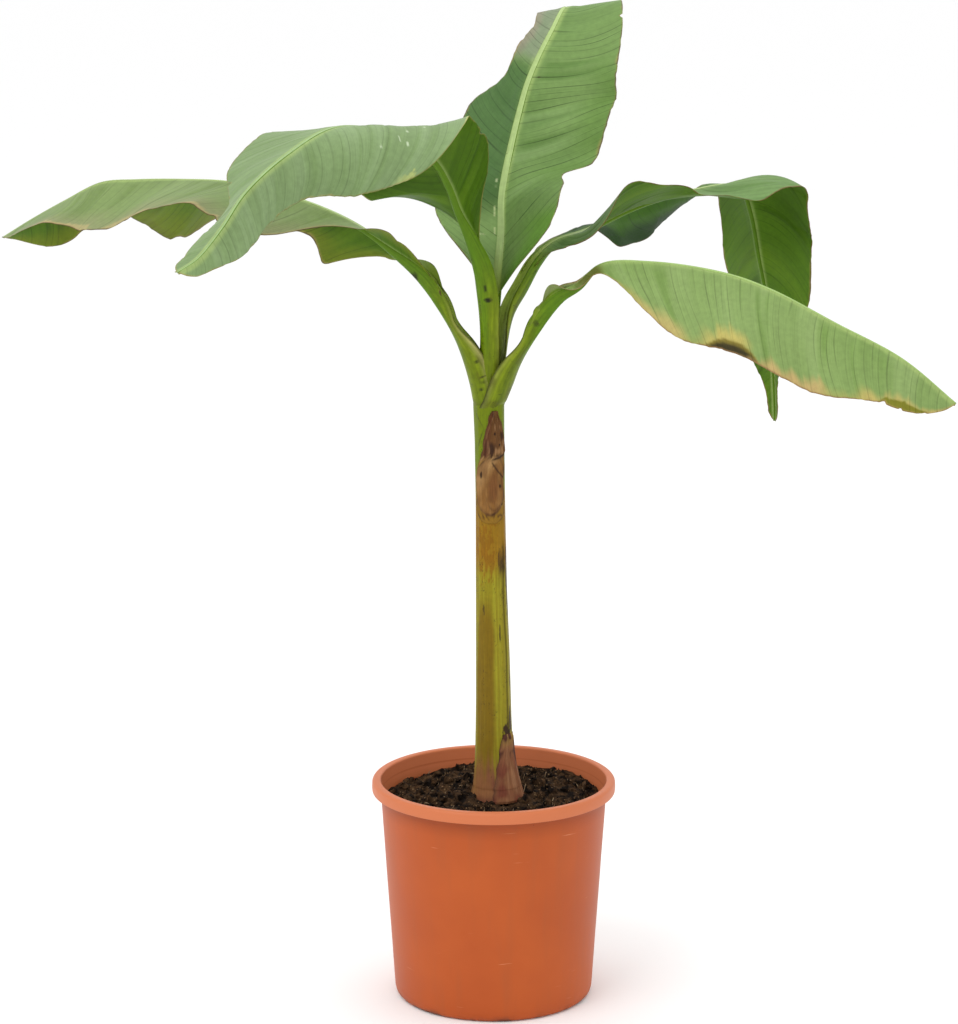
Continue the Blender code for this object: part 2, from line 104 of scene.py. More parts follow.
def start_material(name, roughness, ior=1.45, specular=0.5):
    """A material, its node tree and its Principled shader, with that shader's plain values set."""
    made = bpy.data.materials.new(name)
    made.use_nodes = True
    shader = made.node_tree.nodes["Principled BSDF"]
    shader.inputs["Roughness"].default_value = roughness
    shader.inputs["IOR"].default_value = ior
    shader.inputs["Specular IOR Level"].default_value = specular
    return made, made.node_tree, shader


def finish(tree, shader, colour, roughness=None, height=None, strength=0.0, depth=0.0):
    """Links a colour, and where given a roughness and a height for the bumps, to a shader."""
    links = {"Base Color": colour}
    if roughness:
        links["Roughness"] = roughness
    if height:
        bump = add(tree, "ShaderNodeBump", {"Height": height, "Strength": strength, "Distance": depth})
        links["Normal"] = (bump, 0)
    for socket, (node, output) in links.items():
        tree.links.new(node.outputs[output], shader.inputs[socket])


def noise_share(tree, vector, scale, detail, low=0.0, high=1.0, least=0.0, most=1.0,
                turn=(0.0, 0.0, 0.0), shift=(0.0, 0.0, 0.0)):
    """Noise at one scale, or at one for each axis, as a share that goes from least at a low level of the
    noise to most at a high one."""
    drawn = add(tree, "ShaderNodeMapping", {
        "Vector": vector, "Location": shift, "Rotation": turn,
        "Scale": scale if isinstance(scale, tuple) else (scale, scale, scale)})
    noise = add(tree, "ShaderNodeTexNoise", {"Vector": (drawn, 0), "Scale": 1.0, "Detail": detail})
    share = add(tree, "ShaderNodeMapRange", {
        "Value": (noise, 0), "From Min": low, "From Max": high, "To Min": least, "To Max": most})
    return (share, 0)


def specks(tree, vector, scale, inner, outer, most, rarity):
    """Round specks in the cells whose lot is above rarity, full up to inner and gone at outer, which
    are radii as shares of a cell."""
    cells = add(tree, "ShaderNodeTexVoronoi", {"Vector": vector, "Scale": scale})
    near = add(tree, "ShaderNodeMapRange", {
        "Value": (cells, "Distance"), "From Min": inner, "From Max": outer, "To Min": most, "To Max": 0.0})
    lot = add(tree, "ShaderNodeSeparateColor", {0: (cells, "Color")})
    few = add(tree, "ShaderNodeMath", {0: (lot, 0), 1: rarity}, operation="GREATER_THAN")
    speck = add(tree, "ShaderNodeMath", {0: (near, 0), 1: (few, 0)}, operation="MULTIPLY")
    return (speck, 0)


def painted(tree, base, *layers):
    """A hex code or a linked colour with layers over it, each a hex code and a link to its mask."""
    colour = (*linear(base), 1) if isinstance(base, str) else base
    for code, mask in layers:
        layer = add(tree, "ShaderNodeMix", {0: mask, 6: colour, 7: (*linear(code), 1)}, data_type="RGBA")
        colour = (layer, 2)
    return colour


def start_group(name, **takes):
    """A Geometry Nodes tree with its named inputs and its output, and the node that gives the inputs."""
    tree = bpy.data.node_groups.new(name, "GeometryNodeTree")
    for label, kind in (*takes.items(), ("Finish", "Material")):
        tree.interface.new_socket(label, in_out="INPUT", socket_type="NodeSocket" + kind)
    tree.interface.new_socket("Dressed", in_out="OUTPUT", socket_type="NodeSocketGeometry")
    return tree, add(tree, "NodeGroupInput")


def end_group(tree, given, geometry):
    """Ends a Geometry Nodes tree: makes its instances real and gives the result its material."""
    real = add(tree, "GeometryNodeRealizeInstances", {"Geometry": geometry})
    dressed = add(tree, "GeometryNodeSetMaterial", {"Geometry": (real, 0), "Material": (given, "Finish")})
    add(tree, "NodeGroupOutput", {0: (dressed, 0)})
    return tree


def grow(name, base, tree, look, **sizes):
    """Runs a Geometry Nodes tree on an object, and keeps its result as a plain mesh."""
    modifier = base.modifiers.new(tree.name, "NODES")
    modifier.node_group = tree
    sizes["Finish"] = look
    for socket in tree.interface.items_tree:
        if socket.in_out == "INPUT" and socket.name in sizes:
            modifier[socket.identifier] = sizes[socket.name]
    graph = bpy.context.evaluated_depsgraph_get()
    mesh = bpy.data.meshes.new_from_object(base.evaluated_get(graph))
    base.modifiers.remove(modifier)
    mesh.name = name
    face_outwards(mesh)
    return put(name, mesh)


def settle(made, slot, *nodes):
    """Sets a finished piece on the plant's one body, in place of the solids that it stands for."""
    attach(made, "root")
    if nodes:
        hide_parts(*nodes)


def arc(cx, cz, radius, start, end, steps):
    """Points of an arc in the (radius, height) plane, in degrees."""
    turns = np.radians(np.linspace(start, end, steps + 1))
    return [(cx + radius * math.cos(t), cz + radius * math.sin(t)) for t in turns]


def wall_radius(height):
    """Outer radius of the tapered wall at a height."""
    return BASE_RADIUS + (RIM_RADIUS - RIM_STEP - BASE_RADIUS) * (height / BAND_FOOT)


def pot_outline():
    """The pot's section, from the middle of its underside up the outside and down the inside."""
    top = wall_radius(BAND_FOOT)
    points = [(0.0, 0.0)]
    points += [(r, 0.0) for r in np.linspace(0.02, BASE_RADIUS - FOOT_ROUND - 0.004, 9)]
    points += arc(BASE_RADIUS - FOOT_ROUND, FOOT_ROUND, FOOT_ROUND, -90, 0, 9)
    points += [(wall_radius(z), z) for z in np.linspace(0.010, BAND_FOOT - 0.0035, 42)]
    points += arc(top + ROOT_ROUND, BAND_FOOT - ROOT_ROUND, ROOT_ROUND, 180, 90, 6)
    points += arc(RIM_RADIUS - BAND_ROUND, BAND_FOOT + BAND_ROUND, BAND_ROUND, -90, 0, 5)
    # The band swells by 0.3 mm between its two edges.
    points += [(RIM_RADIUS + 0.0003 * math.sin(math.pi * k / 6), BAND_FOOT + BAND_ROUND + 0.0085 * k / 6)
               for k in range(1, 6)]
    points += arc(RIM_RADIUS - LIP_ROUND, POT_HEIGHT - LIP_ROUND, LIP_ROUND, 0, 90, 10)
    points += arc(top + 0.0020, POT_HEIGHT - LIP_INSIDE, LIP_INSIDE, 90, 180, 7)
    points += [(top - 0.0010, POT_HEIGHT - 0.0060), (top - 0.0022, BAND_FOOT - 0.0020)]
    points += [(wall_radius(z) - WALL, z) for z in np.linspace(BAND_FOOT - 0.008, FLOOR + 0.004, 20)]
    points += [(BASE_RADIUS - WALL - 0.004, FLOOR), (0.0, FLOOR)]
    return points


def turned_wall():
    """Geometry Nodes that turn an outline about the Z axis, with a trace of the mould's unevenness."""
    tree, given = start_group("turned_wall", Outline="Geometry", Points="Int", Turns="Int",
                              Unevenness="Float")
    grid = add(tree, "GeometryNodeMeshGrid", {
        "Size X": 1.0, "Size Y": 1.0, "Vertices X": (given, "Points"), "Vertices Y": (given, "Turns")})
    place = add(tree, "GeometryNodeInputPosition")
    parts = add(tree, "ShaderNodeSeparateXYZ", {0: (place, 0)})
    last = add(tree, "ShaderNodeMath", {0: (given, "Points"), 1: 1.0}, operation="SUBTRACT")
    across = add(tree, "ShaderNodeMath", {0: (parts, "X"), 1: 0.5}, operation="ADD")
    row = add(tree, "ShaderNodeMath", {0: (across, 0), 1: (last, 0)}, operation="MULTIPLY")
    number = add(tree, "FunctionNodeFloatToInt", {0: (row, 0)}, rounding_mode="ROUND")
    point = add(tree, "GeometryNodeSampleIndex", {
        "Geometry": (given, "Outline"), "Value": (place, 0), "Index": (number, 0)},
        data_type="FLOAT_VECTOR", domain="POINT")
    angle = add(tree, "ShaderNodeMath", {0: (parts, "Y"), 1: math.tau}, operation="MULTIPLY")
    turned = add(tree, "ShaderNodeVectorRotate", {"Vector": (point, 0), "Angle": (angle, 0)},
                 rotation_type="Z_AXIS")
    drawn = add(tree, "GeometryNodeSetPosition", {"Geometry": (grid, "Mesh"), "Position": (turned, 0)})
    haze = add(tree, "ShaderNodeTexNoise", {"Vector": (place, 0), "Scale": 9.0, "Detail": 1.0})
    swing = add(tree, "ShaderNodeMath", {0: (haze, 0), 1: 0.5}, operation="SUBTRACT")
    amount = add(tree, "ShaderNodeMath", {0: (swing, 0), 1: (given, "Unevenness")}, operation="MULTIPLY")
    outward = add(tree, "ShaderNodeVectorMath", {0: (place, 0), 1: (1.0, 1.0, 0.0)}, operation="MULTIPLY")
    offset = add(tree, "ShaderNodeVectorMath", {0: (outward, 0), "Scale": (amount, 0)}, operation="SCALE")
    uneven = add(tree, "GeometryNodeSetPosition", {"Geometry": (drawn, 0), "Offset": (offset, 0)})
    closed = add(tree, "GeometryNodeMergeByDistance", {"Geometry": (uneven, 0), "Distance": 0.00002})
    smooth = add(tree, "GeometryNodeSetShadeSmooth", {"Geometry": (closed, 0)})
    return end_group(tree, given, (smooth, 0))


def terracotta_polypropylene():
    """Moulded polypropylene: an even orange body, a fine orange peel and a soft, wide highlight."""
    made, tree, shader = start_material("terracotta_polypropylene", 0.46, 1.49, 0.30)
    place = (add(tree, "ShaderNodeTexCoord"), "Object")
    haze = noise_share(tree, place, HAZE_SCALE, 3.0, 0.3, 0.7)
    # Faded streaks run down the wall, a hand long and a finger wide.
    streaks = noise_share(tree, place, (60.0, 60.0, 6.0), 4.0, 0.50, 0.74, most=0.55)
    # Pale scuffs: short, thin and slanting, where pots rub against each other.
    scuffs = noise_share(tree, place, (18.0, 18.0, 260.0), 2.0, 0.72, 0.78, most=0.5, turn=(0.0, 0.9, 0.4))
    # Splashed specks of wet compost, one or two millimetres across.
    splashes = specks(tree, place, 42.0, 0.022, 0.045, 0.9, 0.86)
    # Four bands of height: just above the ground, the corner under the rim that takes painted shade, the
    # wall inside, the rim.
    height = add(tree, "ShaderNodeSeparateXYZ", {0: place})
    low, corner, above, rim = [
        add(tree, "ShaderNodeMapRange", {
            "Value": (height, "Z"), "From Min": start, "From Max": end, "To Min": least, "To Max": most})
        for start, end, least, most in ((0.001, 0.010, 0.75, 0.0), (0.236, 0.2595, 0.0, 0.60),
                                        (0.244, 0.248, 0.0, 1.0), (0.2590, 0.2605, 0.0, 1.0))]
    # Dirt gathers in patches in the last centimetre above the ground.
    patches = noise_share(tree, place, 34.0, 4.0, 0.48, 0.60)
    dirt = add(tree, "ShaderNodeMath", {0: (low, 0), 1: patches}, operation="MULTIPLY")
    # Painted shade darkens the corner under the rim, as the rim's shadow.  Painted light makes the rim and
    # the wall inside it a shade paler.
    flat = add(tree, "ShaderNodeVectorMath", {0: place, 1: (1.0, 1.0, 0.0)}, operation="MULTIPLY")
    away = add(tree, "ShaderNodeVectorMath", {0: (flat, 0)}, operation="LENGTH")
    within = add(tree, "ShaderNodeMapRange", {
        "Value": (away, "Value"), "From Min": 0.1372, "From Max": 0.1380, "To Min": 1.0, "To Max": 0.0})
    inner = add(tree, "ShaderNodeMath", {0: (within, 0), 1: (above, 0)}, operation="MULTIPLY")
    painted_rim_light = add(tree, "ShaderNodeMath", {0: (inner, 0), 1: (rim, 0)}, operation="MAXIMUM")
    # The last two layers are painted shade under the rim and painted light on the rim and on the wall inside
    # it.
    colour = painted(tree, "#ab4b16", ("#b5531b", haze), ("#a64f20", streaks), ("#e09a6e", scuffs),
                     ("#7d3216", splashes), ("#4a2a1c", (dirt, 0)), ("#87390f", (corner, 0)),
                     ("#c66f45", (painted_rim_light, 0)))
    gloss = noise_share(tree, place, HAZE_SCALE, 3.0, least=0.38, most=0.55)
    # Orange peel about a millimetre across, drawn coarser than life so that it shows.
    finish(tree, shader, colour, gloss, noise_share(tree, place, 900.0, 2.0), 0.12, 0.0004)
    return made


outline_points = pot_outline()
outline_mesh = bpy.data.meshes.new("pot_outline")
outline_mesh.from_pydata([(r, 0.0, z) for r, z in outline_points], [], [])
outline = put("pot_outline", outline_mesh)
pot = grow("nursery_pot", outline, turned_wall(), terracotta_polypropylene(),
           Points=len(outline_points), Turns=POT_TURNS, Unevenness=0.006)
bpy.data.objects.remove(outline)
settle(pot, "terracotta_plastic", "pot")


# ------------------------------------------------------------------------------------------ compost
# The pot is filled to two fingers' width below its rim with peat and bark compost, watered and settled
# but never raked: a dark, lumpy bed, higher at the back right, with crumbs, bark chips and dry straws.

COMPOST_TOP = 0.250
COMPOST_FOOT = 0.0066
BED_RINGS = 110
BED_TURNS = 220
BED_INSET = WALL + 0.0007
BED_HUB = 0.004
BED_SIDE = (0.20, 0.12, 0.05, COMPOST_FOOT)
LATTICE = 64


def drift(x, y, seed, wrap=LATTICE):
    """Smooth noise from -1 to 1 that changes over one unit of x and of y; x repeats after wrap units."""
    lattice = np.random.default_rng(seed).uniform(-1, 1, (wrap, LATTICE))
    x, y = np.broadcast_arrays(x, y)
    x0, y0 = np.floor(x).astype(int), np.floor(y).astype(int)
    fx, fy = x - x0, y - y0
    fx, fy = fx * fx * (3 - 2 * fx), fy * fy * (3 - 2 * fy)
    corner = [[lattice[(x0 + i) % wrap, (y0 + j) % LATTICE] for j in (0, 1)] for i in (0, 1)]
    near = corner[0][0] * (1 - fx) + corner[1][0] * fx
    far = corner[0][1] * (1 - fx) + corner[1][1] * fx
    return near * (1 - fy) + far * fy


def rise(value, low, high):
    """0 below low, 1 above high, and a smooth slope between them."""
    share = np.clip((value - low) / (high - low), 0, 1)
    return share * share * (3 - 2 * share)


def ridge(value, middle, width):
    """1 at the middle, falling to nothing within about two widths on either side."""
    return np.exp(-((value - middle) / width) ** 2)


def grid_faces(rows, columns, closed):
    """Corner numbers of a grid's faces, and the row and column of each corner for its UV."""
    steps = np.arange(columns if closed else columns - 1)
    i, j = np.meshgrid(np.arange(rows - 1), steps, indexing="ij")
    i, j = i.ravel(), j.ravel()
    corner_rows = np.stack([i, i, i + 1, i + 1], 1)
    corner_columns = np.stack([j, j + 1, j + 1, j], 1)
    return corner_rows * columns + corner_columns % columns, corner_rows, corner_columns


def mesh_piece(name, points, faces, look, tint=None, uv=None):
    """A smooth mesh piece, with a colour for each point and a UV for each face corner where given."""
    mesh = bpy.data.meshes.new(name)
    mesh.from_pydata(points.tolist(), [], [list(face) for face in faces])
    if tint is not None:
        layer = mesh.color_attributes.new("tint", "FLOAT_COLOR", "POINT")
        opaque = np.hstack([tint, np.ones((len(tint), 1))])
        layer.data.foreach_set("color", opaque.astype(np.float32).ravel())
        layer = mesh.uv_layers.new(name="run")
        layer.data.foreach_set("uv", uv.astype(np.float32).ravel())
    face_outwards(mesh)
    mesh.shade_smooth()
    mesh.materials.append(look)
    return put(name, mesh)


def bed_height(x, y):
    """How far the bed of compost lies above or below its level."""
    mound = 0.0045 * np.exp(-((x - 0.060) ** 2 + (y - 0.070) ** 2) / 0.0022)
    tilt = 0.012 * y + 0.006 * x
    collar = 0.0035 * ridge(np.hypot(x - 0.004, y), 0.036, 0.010)
    lumps = 0.0042 * drift(x * 38, y * 38, 11) + 0.0030 * drift(x * 95, y * 95, 12)
    crumbs = 0.0009 * drift(x * 260, y * 260, 13)
    return mound + tilt + collar + lumps + crumbs - 0.001


def make_bed(look):
    """The bed's lumpy top, its side against the wall, and its underside."""
    turns = np.linspace(0, math.tau, BED_TURNS, endpoint=False)
    rings = []
    for radius in np.linspace(BED_HUB, wall_radius(COMPOST_TOP) - BED_INSET, BED_RINGS):
        x, y = radius * np.cos(turns), radius * np.sin(turns)
        rings.append(np.stack([x, y, COMPOST_TOP + bed_height(x, y)], 1))
    for height in BED_SIDE:
        radius = wall_radius(height) - BED_INSET
        rings.append(np.stack([radius * np.cos(turns), radius * np.sin(turns), height + 0 * turns], 1))
    points = np.vstack(rings)
    faces = grid_faces(len(rings), BED_TURNS, True)[0]
    first, last = np.arange(BED_TURNS), np.arange(len(points) - BED_TURNS, len(points))
    return mesh_piece("compost_bed", points, [*faces.tolist(), first.tolist(), last[::-1].tolist()], look)


def potting_compost():
    """Moist peat and composted bark: nearly black, matt, flecked with brown fibre and pale bark."""
    made, tree, shader = start_material("potting_compost", 0.92, 1.4, 0.15)
    place = (add(tree, "ShaderNodeTexCoord"), "Object")
    fibre = noise_share(tree, place, 95.0, 5.0, 0.42, 0.64)
    bark = specks(tree, place, 330.0, 0.25, 0.45, 0.75, 0.86)
    grain = noise_share(tree, place, 420.0, 5.0)
    colour = painted(tree, "#110a06", ("#4b3623", fibre), ("#80664a", bark))
    finish(tree, shader, colour, height=grain, strength=0.8, depth=0.0015)
    return made


def straw_fibre():
    """Dry straw and bark fibre: pale, matt, a little bleached."""
    made, tree, shader = start_material("straw_fibre", 0.75)
    place = (add(tree, "ShaderNodeTexCoord"), "Object")
    finish(tree, shader, painted(tree, "#5a4331", ("#b39a76", noise_share(tree, place, 120.0, 2.0))))
    return made


def strewn(name, shape_of):
    """Geometry Nodes that strew a small shape over a bed's upward faces, up to a reach from the Z axis."""
    tree, given = start_group(name, Bed="Geometry", Density="Float", Smallest="Float", Largest="Float",
                              Reach="Float", Seed="Int")
    normal = add(tree, "GeometryNodeInputNormal")
    facing = add(tree, "ShaderNodeSeparateXYZ", {0: (normal, 0)})
    upward = add(tree, "FunctionNodeCompare", {0: (facing, "Z"), 1: 0.3}, operation="GREATER_THAN")
    place = add(tree, "GeometryNodeInputPosition")
    flat = add(tree, "ShaderNodeVectorMath", {0: (place, 0), 1: (1.0, 1.0, 0.0)}, operation="MULTIPLY")
    away = add(tree, "ShaderNodeVectorMath", {0: (flat, 0)}, operation="LENGTH")
    clear = add(tree, "FunctionNodeCompare", {0: (away, "Value"), 1: (given, "Reach")},
                operation="LESS_THAN")
    ground = add(tree, "FunctionNodeBooleanMath", {0: (upward, 0), 1: (clear, 0)}, operation="AND")
    spots = add(tree, "GeometryNodeDistributePointsOnFaces", {
        "Mesh": (given, "Bed"), "Selection": (ground, 0), "Density": (given, "Density"),
        "Seed": (given, "Seed")}, distribute_method="RANDOM")
    turn = add(tree, "FunctionNodeRandomValue", {
        0: (0.0, 0.0, 0.0), 1: (math.tau, math.tau, math.tau), "Seed": (given, "Seed")},
        data_type="FLOAT_VECTOR")
    size = add(tree, "FunctionNodeRandomValue", {
        2: (given, "Smallest"), 3: (given, "Largest"), "Seed": 7}, data_type="FLOAT")
    form = add(tree, "FunctionNodeRandomValue", {
        0: (0.6, 0.5, 0.4), 1: (1.3, 1.1, 1.0), "Seed": 8}, data_type="FLOAT_VECTOR")
    scale = add(tree, "ShaderNodeVectorMath", {0: (form, 0), "Scale": (size, 1)}, operation="SCALE")
    copies = add(tree, "GeometryNodeInstanceOnPoints", {
        "Points": (spots, "Points"), "Instance": shape_of(tree), "Rotation": (turn, 0), "Scale": (scale, 0)})
    return end_group(tree, given, (copies, 0))


def clod(tree, subdivisions):
    """A lump of compost one metre across before it is scaled: a ball pushed in and out."""
    ball = add(tree, "GeometryNodeMeshIcoSphere", {"Radius": 0.5, "Subdivisions": subdivisions})
    place = add(tree, "GeometryNodeInputPosition")
    noise = add(tree, "ShaderNodeTexNoise", {"Vector": (place, 0), "Scale": 3.0, "Detail": 2.0})
    centred = add(tree, "ShaderNodeVectorMath", {0: (noise, 1), 1: (0.5, 0.5, 0.5)}, operation="SUBTRACT")
    pushed = add(tree, "GeometryNodeSetPosition", {"Geometry": (ball, 0), "Offset": (centred, 0)})
    return (pushed, 0)


def straw(tree):
    """A short bent fibre, one metre long before it is scaled."""
    line = add(tree, "GeometryNodeCurveQuadraticBezier", {
        "Resolution": 6, "Start": (-0.5, 0.0, 0.0), "Middle": (0.0, 0.18, 0.05), "End": (0.5, 0.0, 0.0)})
    section = add(tree, "GeometryNodeCurvePrimitiveCircle", {"Resolution": 5, "Radius": 0.035})
    tube = add(tree, "GeometryNodeCurveToMesh", {
        "Curve": (line, 0), "Profile Curve": (section, 0), "Fill Caps": True})
    return (tube, 0)


compost_look = potting_compost()
bed = make_bed(compost_look)
bed_edge = wall_radius(COMPOST_TOP) - WALL
crumbs = grow("compost_crumbs", bed, strewn("strewn_crumbs", lambda tree: clod(tree, 1)), compost_look,
              Density=42000.0, Smallest=0.0012, Largest=0.0042, Reach=bed_edge - 0.0025, Seed=3)
clods = grow("compost_clods", bed, strewn("strewn_clods", lambda tree: clod(tree, 2)), compost_look,
             Density=6800.0, Smallest=0.0050, Largest=0.0155, Reach=bed_edge - 0.0095, Seed=5)
straws = grow("compost_straws", bed, strewn("strewn_straws", straw), straw_fibre(),
              Density=1100.0, Smallest=0.006, Largest=0.020, Reach=bed_edge - 0.0085, Seed=9)
settle(bed, "compost", "compost")
for strewn_piece in (crumbs, clods, straws):
    settle(strewn_piece, "compost")


# --------------------------------------------------------------------------------------- false stem
# The false stem is a tight roll of living leaf sheaths, fleshy and ribbed along their fibres.  Each
# older sheath ends in a slanting edge that clasps the ones inside.  The foot is dry and brownish pink,
# the middle yellow and ochre, the top olive green, all of it peppered with small dark flecks.

# Height, middle along X, and radius.
STEM = [
    (COMPOST_TOP + 0.0003, 0.004, 0.0335),
    (0.268, 0.003, 0.0285),
    (0.300, 0.001, 0.0245),
    (0.350, 0.000, 0.0225),
    (0.430, -0.001, 0.0210),
    (0.520, -0.003, 0.0195),
    (0.620, -0.004, 0.0187),
    (0.700, -0.005, 0.0187),
    (0.745, -0.006, 0.0195),
]
STEM_ROWS = 460
STEM_TURNS = 168
# Samples of the stem's table, how many of them round off a corner, and how many keep the flare's own.
STEM_SAMPLES = 400
STEM_ROUNDING = 41
STEM_FLARE = 14
STEM_SUNK = 0.0006
# How many metres of skin the UV runs round the stem and along it.
STEM_SKIN = (0.125, 0.50)
PORE_SCALE = 160.0
FIBRE_HEIGHT = 0.00022
SHEATH_RIB_HEIGHT = 0.00045
FRONT = math.radians(-90)
# Edges of older sheaths: bearing from the front in degrees at the foot and top heights, and its height.
SHEATH_EDGES = [
    (52, 0.300, 50, 0.585, 0.0008),
    (-78, 0.250, -66, 0.478, 0.0009),
    (150, 0.260, 118, 0.640, 0.0009),
    (-140, 0.400, -172, 0.700, 0.0008),
    (-60, 0.688, -18, 0.7205, 0.0006),
    (-16, 0.7150, -74, 0.745, 0.0006),
]
# Dark scabs: bearing and height, half sizes in degrees and metres, the seed of the edge, strength.
SCABS = [
    (30, 0.556, 4, 0.010, 48, 0.6), (74, 0.530, 14, 0.050, 35, 0.8), (44, 0.338, 13, 0.013, 36, 0.95),
    (62, 0.352, 8, 0.020, 37, 0.9), (38, 0.322, 8, 0.010, 38, 0.85), (70, 0.400, 5, 0.014, 39, 0.7),
    (28, 0.462, 3, 0.013, 40, 0.8), (-30, 0.493, 4, 0.007, 41, 0.7), (150, 0.360, 20, 0.018, 42, 0.8),
    (-130, 0.420, 12, 0.012, 43, 0.7), (170, 0.560, 16, 0.030, 44, 0.7), (-170, 0.300, 22, 0.016, 45, 0.7),
]


def stem_axis(height):
    """Axis x and radius of the false stem at a height, with the table's corners rounded off."""
    fine = np.linspace(STEM[0][0], STEM[-1][0], STEM_SAMPLES)
    rows = [np.interp(fine, [row[0] for row in STEM], [row[k] for row in STEM]) for k in (1, 2)]
    kernel = np.hanning(STEM_ROUNDING) / np.hanning(STEM_ROUNDING).sum()
    padded = [np.pad(row, STEM_ROUNDING // 2, mode="edge") for row in rows]
    smooth = [np.convolve(row, kernel, mode="valid") for row in padded]
    smooth[1][:STEM_FLARE] = rows[1][:STEM_FLARE]
    return [np.interp(height, fine, row) for row in smooth]


def tinted(base, *layers):
    """A hex code or a grid of colours with layers laid over it, each a hex code and a mask."""
    colour = linear(base) if isinstance(base, str) else base
    for code, mask in layers:
        colour = colour * (1 - mask[..., None]) + linear(code) * mask[..., None]
    return colour


def between(value, start, full, fading, gone):
    """A share that rises from start to full, and falls from fading to gone."""
    return rise(value, start, full) * (1 - rise(value, fading, gone))


def oval(across, along, at, size):
    """How far a point lies from an oval's middle, 1 on its edge."""
    return np.hypot((across - at[0]) / size[0], (along - at[1]) / size[1])


def spot(bearing, height, at, size, seed, rough=0.35, soft=0.0):
    """A ragged patch: its middle and its half sizes in degrees and metres, and how far it fades inwards."""
    turn = (bearing - at[0] + 180) % 360 - 180
    edge = drift(bearing / 9, height * 140, seed) + 0.5 * drift(bearing / 3, height * 420, seed + 1)
    return 1 - rise(oval(turn, height, (0, at[1]), size) + rough * edge, 0.75 - soft, 1.05)


def stem_relief(bearing, height):
    """Fibres, ribs and the stepped edges of older sheaths, and a mask of the lines along those edges."""
    relief = FIBRE_HEIGHT * drift((bearing + 180) / 4, height * 9, 21, 90)
    relief = relief + SHEATH_RIB_HEIGHT * drift((bearing + 180) / 15, height * 5, 22, 24)
    line = np.zeros_like(relief)
    for foot_bearing, foot, top_bearing, top, step in SHEATH_EDGES:
        share = np.clip((height - foot) / (top - foot), 0, 1)
        edge = foot_bearing + (top_bearing - foot_bearing) * share
        beyond = (bearing - edge - 3 * drift(height * 16, 0.0, int(foot * 1000))) % 360
        ends = between(height, foot - 0.01, foot + 0.02, top - 0.02, top)
        relief = relief + step * ends * np.exp(-beyond / 38) * rise(beyond, 0, 3)
        line = np.maximum(line, ends * ridge(np.minimum(beyond, 360 - beyond), 0.0, 3.0))
    return relief, line


def stem_tint(bearing, height, line):
    """Colours of the stem's skin by bearing from the front and by height."""
    along = drift((bearing + 180) / 6, height * 7, 31, 60)
    mottle = drift((bearing + 180) / 20, height * 24, 32, 18)
    ochre = 1 - rise(np.abs(bearing + 28 + 10 * mottle), 18, 42)
    ochre = ochre * rise(0.515 - height + 0.01 * mottle, 0.0, 0.04)
    back = rise(np.abs(bearing), 95, 150) * (1 - rise(height, 0.62, 0.66))
    foot = 1 - rise(height + 0.010 * along + 0.008 * mottle, 0.272, 0.318)
    colour = tinted(
        "#857a18",
        ("#9a9628", rise(along, -0.2, 0.9) * 0.6),
        ("#6e520a", ochre * 0.8),
        ("#8a6712", between(height, 0.525, 0.56, 0.62, 0.65)),
        ("#7c4e08", spot(bearing, height, (-22, 0.572), (30, 0.034), 33, 0.9) * 0.55),
        ("#68780c", rise(height + 0.012 * along, 0.63, 0.68)),
        ("#7b7c2c", back * 0.5),
        ("#8a5a3c", foot * 0.85),
        ("#7a4638", foot * rise(mottle, 0.0, 0.7) * 0.6),
        ("#5a2c26", (1 - rise(height, 0.250, 0.262)) * 0.7),
        ("#241510", spot(bearing, height, (44, 0.550), (26, 0.024), 34, 0.2, 0.7) * 0.85))
    for at_bearing, at_height, turn, tall, seed, strength in SCABS:
        scab = spot(bearing, height, (at_bearing, at_height), (turn, tall), seed)
        colour = tinted(colour, ("#2e1814", scab * strength))
    flecks = drift((bearing + 180) / 1.6, height * 900, 46, 225)
    flecks = flecks + 0.5 * drift((bearing + 180) / 12, height * 60, 47, 30)
    return tinted(colour, ("#3c2a14", rise(flecks, 0.96, 1.15) * 0.8), ("#332a0e", line * 0.75))


